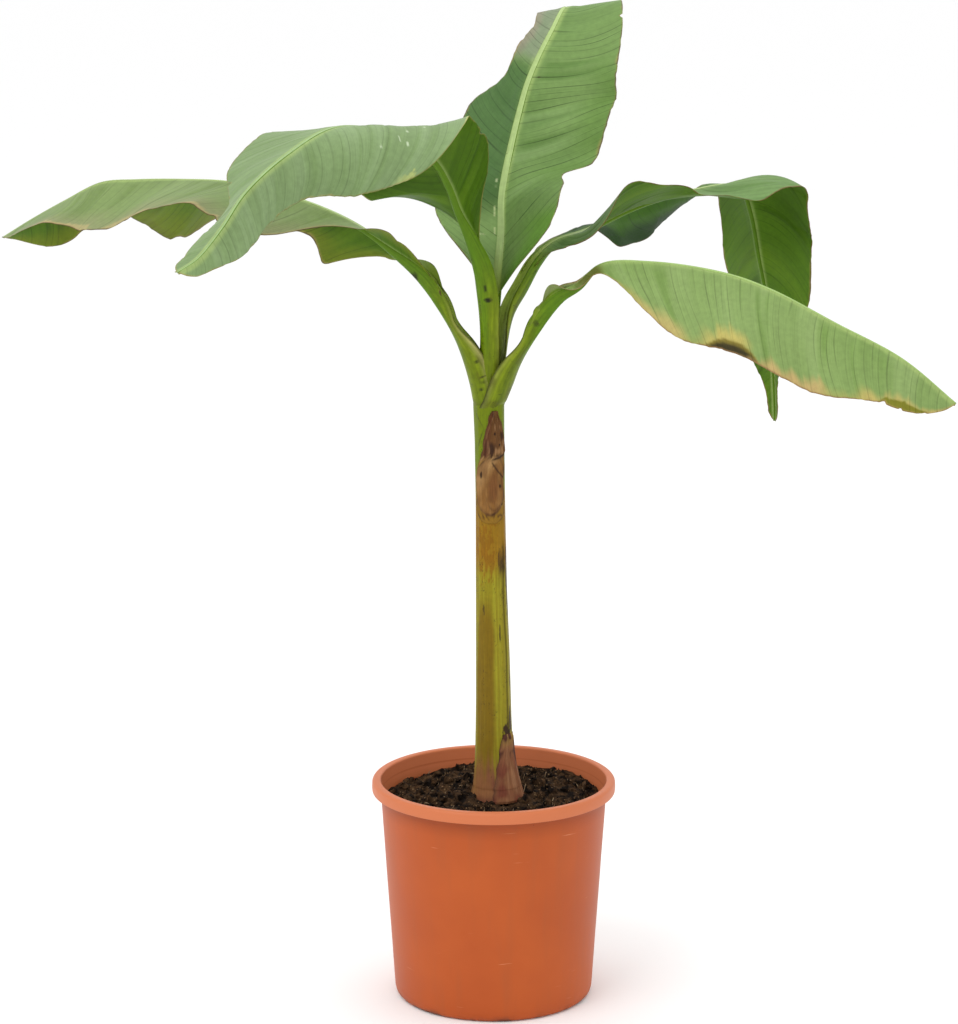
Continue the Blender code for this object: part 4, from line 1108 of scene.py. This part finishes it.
def stalk_tint(name, around, walked, blade_share):
    """Olive sheath and stalk; on the midrib pale yellow-green above and bright green below."""
    streak = drift(around * 7, walked * 10, 73)
    front = rise(around, 1.0, 1.15)
    off = np.abs(around)
    bare = 1 - rise(walked, 0.05, 0.16)
    colour = tinted(
        "#68780c",
        ("#7e8f16", rise(streak, -0.1, 0.8) * 0.7),
        ("#4a5c0a", rise(-streak, 0.1, 0.8) * 0.6),
        ("#5f8400", rise(walked, 0.04, 0.10) * (1 - rise(off, 0.15, 0.6)) * 0.7),
        # The channel is paler than the back; on right_back it is painted lighter still, as painted light in
        # a channel that lies in shade.
        ("#a9bc55" if name == "right_back" else "#93a548", front * 0.85),
        ("#aea868", between(off, 0.76, 0.86, 0.92, 0.97) * bare * (0.75 if name == "far_left" else 0.2)),
        ("#2c2c0c", ridge(off, 1.0, 0.05) * 0.8 * (1 - rise(walked, 0.06, 0.16))),
        ("#8fa972" if name == "left_front" else "#a2b878", rise(blade_share, 0.0, 0.15) * front),
        ("#4f7410", rise(blade_share, -0.12, 0.05) * (1 - front) * 0.85))
    if name == "left_front":
        colour = tinted(colour, ("#567a10", front * (1 - rise(blade_share, 0.25, 0.35)) * 0.8))
    if name == "right_front":
        colour = tinted(colour, ("#97b268", rise(blade_share, 0.12, 0.25) * 0.9))
    ragged = 0.35 * drift(around * 9, walked * 300, 71)
    for leaf_name, at, size, strength in BRUISES:
        if leaf_name == name:
            bruise = 1 - rise(oval(around, walked, at, size) + ragged, 0.6, 1.1)
            colour = tinted(colour, ("#1d1a0c", bruise * strength))
    flecks = drift(around * 14, walked * 420, 74) + 0.5 * drift(around * 3, walked * 60, 75)
    worn = rise(drift(around * 5, walked * 60, 76), 0.25, 0.8)
    return tinted(colour, ("#4c4a10", worn * (1 - rise(blade_share, -0.1, 0.0)) * 0.5),
                  ("#3a3612", rise(flecks, 1.02, 1.2) * (1 - rise(blade_share, 0.0, 0.1)) * 0.8))


rind_look = striped_skin("leaf_stalk_rind", (1000.0, 22.0), 0.42, 0.40, contrast=0.24, specular=0.16,
                         flecks=(0.0055, 0.0006))
for leaf_name, leaf_shape in LEAVES.items():
    settle(make_stalk(leaf_name, leaf_shape, rind_look), "leaf_stalk", leaf_name + "_leaf_stalk")


# --------------------------------------------------------------------------------------- leaf blades
# A banana blade is 0.7 mm thick at its rib and 0.4 mm at its margin: two halves on one midrib, each
# pleated by close veins that leave the rib nearly square and sweep towards the tip.  The upper side has
# a pale waxy bloom, its grey-green partly painted reflection of the sky; the underside is a deeper green,
# partly painted shade.  Wind has browned, nicked and frayed the margins.

BLADE_THICK = 0.0007
BLADE_ROWS = 460
BLADE_HALF = 40
BLADE_START = -0.04
WING = 0.10
TIP_WIDTH = 0.03
SWEEP = 0.18
BLADE_SUNK = 0.0030
CREASE_DEPTH = 0.0006
PLEAT_HEIGHT = 0.0009
SWELL_HEIGHT = 0.0012
RUFFLE_HEIGHT = 0.0028
# The underside's colours are darker than its own green: painted shade is part of them.
UNDER = ("#48690f", "#345208", "#5f7f1c")

# Each blade: its plain, deep and light colours above and below, its margin's colour and how far that
# has dried, its sheen, how strong its furrows are, and the seed of its noise.
# A tear: the half, the share of the length where it lies, its half width and its depth.
# A mark: the half, its share of the length and its metres from the rib, its two sizes, its colour.
# A zone: the side and the half; from which to which share, and over how much that fades; from which
# share of the half width outwards, and how softly; its colour and its strength.
# A dried lens on the right margin's upper side: its middle and half length, then as a zone's last four.
BLADE_LOOKS = {
    "upright": dict(
        upper=("#6c884c", "#4d6e30", "#7f9a61"), under=UNDER,
        margin="#6d5646", brown=0.0008, sheen=0.18, furrows=0.55, seed=100,
        tears=[("right", 0.77, 0.006, 0.04), ("left", 0.66, 0.012, 0.04), ("left", 0.8, 0.01, 0.05)],
        marks=[("left", 0.275, 0.0095, 0.026, 0.0014, "#d3dcab"),
               ("left", 0.215, 0.0085, 0.018, 0.0012, "#c4d096"),
               ("left", 0.165, 0.008, 0.012, 0.0012, "#c4d096"),
               ("left", 0.15, 0.03, 0.004, 0.012, "#c0cc98"),
               ("right", 0.575, 0.01, 0.006, 0.003, "#4a3a22")],
        zones=[
            # Painted shade: the left half is darkened up to two thirds of its length.
            ("upper", "left", -0.3, 0.62, 0.06, -0.2, 0.1, "#426333", 0.85),
            # Painted light: the left half's lobe by the stalk is paled where it lies in shade.
            ("upper", "left", -0.3, 0.26, 0.09, -0.2, 0.1, "#8aa866", 0.95),
            # Painted sheen: the top of the left half is turned grey, as sky glancing off it.
            ("upper", "left", 0.58, 1.2, 0.05, -0.2, 0.1, "#78846a", 0.85),
            ("upper", "left", 0.58, 0.92, 0.05, 0.45, 0.4, "#857f6c", 0.75),
            # Painted glow: the right half by the stalk is a brighter green, as light shining through it.
            ("upper", "right", -0.2, 0.22, 0.06, 0.25, 0.5, "#5c8430", 0.85),
            ("upper", "right", 0.3, 0.7, 0.12, 0.55, 0.4, "#587a32", 0.6),
        ],
        lenses=[]),
    "left_front": dict(
        upper=("#7a9163", "#68804e", "#859b70"), under=UNDER,
        margin="#7a7a3a", brown=0.0004, sheen=0.18, furrows=0.26, seed=200,
        tears=[("right", 0.7, 0.008, 0.08), ("left", 0.225, 0.006, 0.05)],
        marks=[("left", at, out, 0.002, wide, "#b4c4a2") for at, out, wide in (
            (0.4, 0.05, 0.003), (0.425, 0.058, 0.004), (0.385, 0.036, 0.003), (0.44, 0.04, 0.002),
            (0.41, 0.07, 0.005), (0.47, 0.062, 0.003), (0.36, 0.048, 0.002))],
        zones=[
            ("upper", "left", 0.2, 0.44, 0.05, 0.97, 0.02, "#a9b46c", 0.8),
        ],
        lenses=[]),
    "far_left": dict(
        upper=("#728750", "#61773d", "#7d905d"), under=UNDER,
        margin="#4d3b25", brown=0.001, sheen=0.18, furrows=0.36, seed=300,
        tears=[("left", 0.42, 0.01, 0.05), ("right", 0.58, 0.02, 0.05)],
        marks=[],
        zones=[
            ("upper", "both", 0.2, 1.3, 0.1, 0.5, 0.5, "#858560", 0.65),
            ("upper", "left", 0.35, 0.92, 0.05, 0.91, 0.05, "#a39768", 0.75),
            ("under", "right", 0.5, 0.7, 0.04, 0.86, 0.06, "#2e230c", 0.85),
            ("under", "both", -0.2, 1.3, 0.1, 0.3, 0.6, "#687618", 0.8),
        ],
        lenses=[]),
    "right_back": dict(
        upper=("#6b8852", "#527236", "#7d985e"), under=("#4e7019", "#345208", "#5f7f1c"),
        margin="#6b4a34", brown=0.0007, sheen=0.06, furrows=0.34, seed=400,
        tears=[],
        marks=[],
        zones=[
            ("upper", "both", 0.55, 1.3, 0.1, -0.2, 0.2, "#7f9a60", 0.8),
            # Painted shade: the left half's lobe near the stalk is darkened on both sides, as if in shadow.
            ("both", "left", 0.08, 0.5, 0.05, -0.2, 0.1, "#355c10", 0.85),
            ("both", "left", 0.14, 0.5, 0.05, 0.35, 0.4, "#14330a", 0.85),
        ],
        lenses=[]),
    "right_front": dict(
        upper=("#7a9254", "#638139", "#899f64"), under=UNDER,
        margin="#8a6a44", brown=0.001, sheen=0.18, furrows=0.36, seed=500,
        tears=[("right", 0.86, 0.012, 0.05), ("right", 0.905, 0.006, 0.04), ("right", 0.955, 0.005, 0.03)],
        marks=[],
        zones=[
            ("upper", "right", 0.0, 1.3, 0.1, 0.84, 0.2, "#a1974e", 0.6),
            ("upper", "right", 0.22, 0.4, 0.05, 0.74, 0.25, "#b0a064", 0.85),
            ("upper", "right", 0.4, 0.56, 0.05, 0.68, 0.2, "#b3a258", 0.8),
            ("upper", "right", 0.54, 0.74, 0.06, 0.82, 0.15, "#b59a66", 0.85),
            ("upper", "right", 0.78, 1.1, 0.05, 0.72, 0.22, "#b0a05c", 0.85),
            ("upper", "right", -0.1, 0.22, 0.1, 0.0, 0.6, "#82a048", 0.5),
            ("both", "right", 0.09, 0.19, 0.03, 0.1, 0.3, "#515218", 0.85),
            ("both", "both", 0.02, 0.13, 0.03, 0.5, 0.3, "#8b9466", 0.6),
        ],
        lenses=[(0.51, 0.08, 0.84, 0.03, "#6e6220", 0.95), (0.512, 0.077, 0.88, 0.05, "#2b260c", 0.95),
                (0.905, 0.065, 0.8, 0.04, "#70701a", 0.95)]),
}


def blade_width(share, leaf):
    """Half width of the blade: a narrow wing, a quick rise and a rounded tip.  It starts on the stalk."""
    risen = np.clip((share - leaf["wing_to"]) / (leaf["full"] - leaf["wing_to"]), 0, 1)
    grown = np.sin(math.pi / 2 * risen) ** 1.3
    fallen = np.clip((share - leaf["tip"]) / (1 - leaf["tip"]), 0, 1)
    width = (WING + (1 - WING) * grown) * (1 - fallen ** 2.2) ** 0.8
    width = np.maximum(width, TIP_WIDTH) * leaf["half_width"]
    start = rise(share, BLADE_START, 0.02)
    return rib_half_width(0 * share) * (1 - start) + width * start


def half_path(reach, fold, curl):
    """Offsets across and up from the rib to the margin, and where each point lies as a share."""
    q = np.linspace(0, 1, BLADE_HALF + 1)[None, :]
    slope = np.radians(fold)[:, None] + np.radians(curl)[:, None] * q
    middle = (slope[:, 1:] + slope[:, :-1]) / 2
    step = np.diff(q, axis=1) * reach[:, None]
    zero = np.zeros((len(reach), 1))
    out = np.hstack([zero, np.cumsum(np.cos(middle) * step, axis=1)])
    up = np.hstack([zero, np.cumsum(np.sin(middle) * step, axis=1)])
    return out, up, q + 0 * out


def notch(share, tears, side):
    """How much of one half's width its torn margin loses at a share of the length."""
    loss = 0 * share
    for half, at, width, depth in tears:
        if half == side:
            loss = np.maximum(loss, depth * (1 - rise(np.abs(share - at), 0.15 * width, width)))
    return loss


def normals(surface):
    """Unit normals of a grid of points."""
    return unit(np.cross(np.gradient(surface, axis=1), np.gradient(surface, axis=0)))


def make_blade(name, leaf, look):
    """Both halves of one leaf's blade, from just before the end of the stalk to the tip."""
    looks = BLADE_LOOKS[name]
    seed = looks["seed"]
    rib, length = lay_rib(leaf)
    share = np.linspace(BLADE_START, 1, BLADE_ROWS)
    blade = np.clip(share, 0, 1)
    point, folds, along, left, upper = rib_at(rib, leaf["stalk"] + share * (1 - leaf["stalk"]))
    station = share * (1 - leaf["stalk"]) * length
    buried = 1 - rise(share, BLADE_START, 0.0)
    root_out, root_up = rib_half_width(share), rib_edge_height(share) - BLADE_SUNK * buried
    halves = []
    for sign, side, first in ((1, "left", 0), (-1, "right", 2)):
        fold, curl, wide = folds[:, first], folds[:, first + 1], folds[:, 4 + first // 2]
        width = np.maximum(blade_width(share, leaf) * wide, root_out + 0.0004 * (1 - buried))
        frayed = 0.0008 * drift(station * 60, 0.0, seed) + 0.0005 * drift(station * 190, 3.0, seed)
        reach = (width + frayed * rise(share, 0.05, 0.15)) * (1 - notch(share, looks["tears"], side))
        out, up, q = half_path(reach, fold, curl)
        metres = q * reach[:, None]
        inside = np.clip(metres / root_out[:, None], 0, 1)
        # Inside the rib the sheet dips into its flesh; beyond, it leaves the rib's edge and runs out to
        # the line that the fold gives.
        seat = np.minimum(root_out / np.maximum(reach, 1e-6), 1)
        seat_out = seat * reach * np.cos(np.radians(fold))
        seat_up = seat * reach * np.sin(np.radians(fold))
        ease = 1 - rise((q - seat[:, None]) / 0.35, 0.0, 1.0)
        out = out + (root_out - seat_out)[:, None] * ease
        up = up + (root_up - seat_up)[:, None] * ease
        out = np.where(inside < 1, metres, out)
        dip = -0.30 * STALK_KEEL * (1 - 0.8 * blade)
        up = np.where(inside < 1, dip[:, None] * (1 - inside ** 2) + root_up[:, None] * inside ** 2, up)
        surface = (point[:, None] + sign * out[..., None] * left[:, None] + up[..., None] * upper[:, None]
                   + (SWEEP * metres)[..., None] * along[:, None])
        lean = 0.12 + 0.30 * q + 0.45 * (1 - blade[:, None]) ** 4
        halves.append((surface, q, metres, reach[:, None] - metres, station[:, None] - lean * metres))

    def joined(index, sign=1):
        """One grid of both halves, from the left margin over the rib to the right one."""
        return np.concatenate([sign * halves[0][index][:, ::-1], halves[1][index][:, 1:]], axis=1)

    surface, q, metres, margin, vein = [joined(index) for index in range(5)]
    signed = joined(2, -1)
    is_left = signed < 0
    where = np.where(is_left, 7.0, 0.0)
    crease = rise(drift(vein * 115 + where, metres * 6, seed + 1), 0.25, 0.75)
    pleat = drift(vein * 48 + where, metres * 7, seed + 2)
    swell = drift(station[:, None] * 11 + where, metres * 9, seed + 3)
    ruffle = drift(station[:, None] * 17 + where, 0.0, seed + 4)
    relief = PLEAT_HEIGHT * pleat + SWELL_HEIGHT * swell - CREASE_DEPTH * crease
    relief = relief * rise(metres, 0.006, 0.020) + RUFFLE_HEIGHT * ruffle * q ** 3
    surface = surface + relief[..., None] * normals(surface)
    half_sheet = normals(surface) * (BLADE_THICK * (1 - 0.4 * q))[..., None] / 2
    tints = [blade_tint(looks, side, is_left, share[:, None] + 0 * q, q, metres, margin, vein, crease)
             for side in ("upper", "under")]
    return shell_piece(name + "_blade_sheet", surface + half_sheet, surface - half_sheet, look, *tints,
                       np.stack([signed, vein], -1))


def blade_tint(looks, side, is_left, share, q, metres, margin, vein, crease):
    """Colours of one side of a blade: bloom, veins, zones of yellowing and of painted light and shade, and
    the dried margin.
    """
    seed = looks["seed"]
    plain, deep, light = looks[side]
    halves = {"left": is_left, "right": ~is_left, "both": True}
    haze = drift(vein * 14, metres * 16, seed + 11)
    stripe = drift(vein * 240, metres * 5, seed + 12)
    broad = drift(vein * 60, metres * 7, seed + 13)
    colour = tinted(
        plain,
        (deep, rise(haze, -0.4, 0.9) * 0.5),
        (deep, crease * 0.55 * rise(metres, 0.006, 0.02)),
        (light, rise(broad, 0.1, 0.9) * 0.45))
    colour = tinted(
        colour * (1 + 0.05 * stripe[..., None]),
        ("#9fb46a", (1 - rise(metres, 0.004, 0.009)) * 0.5),
        ("#74881a", (1 - rise(share, 0.0, 0.08)) * 0.8))
    for seen, half, start, end, soft, edge, fade, code, strength in looks["zones"]:
        if seen in (side, "both"):
            mask = between(share + 0.03 * haze, start, start + soft, end - soft, end) * halves[half]
            mask = mask * rise(q + 0.10 * broad + 0.05 * stripe, edge, edge + fade)
            colour = tinted(colour, (code, mask * strength))
    for middle, length, edge, fade, code, strength in looks["lenses"] if side == "upper" else ():
        across = (share - middle) / length
        mask = rise(q - (1 - edge) * across ** 2, edge, edge + fade) * (np.abs(across) < 1) * ~is_left
        colour = tinted(colour, (code, mask * strength))
    rough = 0.7 * drift(vein * 400, metres * 300, seed + 16)
    for half, at, out, long, wide, code in looks["marks"]:
        mask = 1 - rise(oval(share, metres, (at, out), (long, wide)) + rough, 0.5, 0.8)
        colour = tinted(colour, (code, mask * halves[half] * 0.85))
    ragged = margin + 0.0010 * drift(vein * 130, metres * 40, seed + 14)
    dried = looks["brown"] * (0.5 + 1.4 * np.clip(drift(vein * 22, 0 * vein, seed + 15), 0, 1))
    dried = dried * rise(share, 0.02, 0.10) + 1e-5
    return tinted(colour, ("#a58e58", (1 - rise(ragged, dried, dried * 4.0)) * 0.45),
                  (looks["margin"], (1 - rise(ragged, dried * 0.4, dried)) * 0.9))


for leaf_name, leaf_shape in LEAVES.items():
    leaf_looks = BLADE_LOOKS[leaf_name]
    lamina_look = striped_skin(leaf_name + "_leaf_lamina", (7.0, 760.0), 0.50, 0.35, contrast=0.10, ior=1.42,
                               specular=leaf_looks["sheen"], furrows=(5.0, 95.0, leaf_looks["furrows"]))
    blade_nodes = [leaf_name + "_leaf_blade"]
    if leaf_name in ("left_front", "right_back"):
        blade_nodes = [leaf_name + "_leaf_blade_near", leaf_name + "_leaf_blade_far"]
    settle(make_blade(leaf_name, leaf_shape, lamina_look), "leaf_blade", *blade_nodes)


# -------------------------------------------------------------------------------------------- studio
# A plain pale floor under a white sky and two large soft lamps, and a camera a little above the leaves,
# four metres away, that looks slightly down.  None of it is part of the plant.

FLOOR_REACH = 60

floor_mesh = bpy.data.meshes.new("studio_floor")
floor_corners = [(x * FLOOR_REACH, y * FLOOR_REACH, 0) for x, y in ((-1, -1), (1, -1), (1, 1), (-1, 1))]
floor_mesh.from_pydata(floor_corners, [], [(0, 1, 2, 3)])
floor = put("studio_floor", floor_mesh)
floor_look, _, floor_shader = start_material("matt_white_floor", 0.9, specular=0.1)
floor_shader.inputs["Base Color"].default_value = (0.95, 0.95, 0.95, 1)
floor_mesh.materials.append(floor_look)

sky = bpy.data.worlds.new("white_sky")
sky.use_nodes = True
sky.node_tree.nodes["Background"].inputs["Color"].default_value = (1.0, 1.0, 1.0, 1)
sky.node_tree.nodes["Background"].inputs["Strength"].default_value = 1.05
bpy.context.scene.world = sky


def soft_lamp(name, place, target, size, watts):
    """A square soft box that faces a point."""
    lamp = bpy.data.lights.new(name, "AREA")
    lamp.size = size
    lamp.energy = watts
    made = put(name, lamp)
    made.location = place
    aim = np.array(target) - np.array(place)
    made.rotation_euler = (math.atan2(math.hypot(aim[0], aim[1]), -aim[2]), 0, math.atan2(-aim[0], aim[1]))


soft_lamp("key_lamp", (-1.6, -1.8, 3.4), (0, 0, 0.8), 2.2, 42)
soft_lamp("top_lamp", (0.4, 0.6, 3.6), (0, 0, 0.6), 2.6, 22)

camera = bpy.data.cameras.new("camera")
camera.lens = 118.48
camera.sensor_width = 36
camera_stand = put("camera", camera)
camera_stand.location = (-0.018, -4.0, 1.475)
camera_stand.rotation_euler = (math.radians(90 - 12.2), 0, 0)
bpy.context.scene.camera = camera_stand
bpy.context.scene.view_settings.view_transform = "Standard"
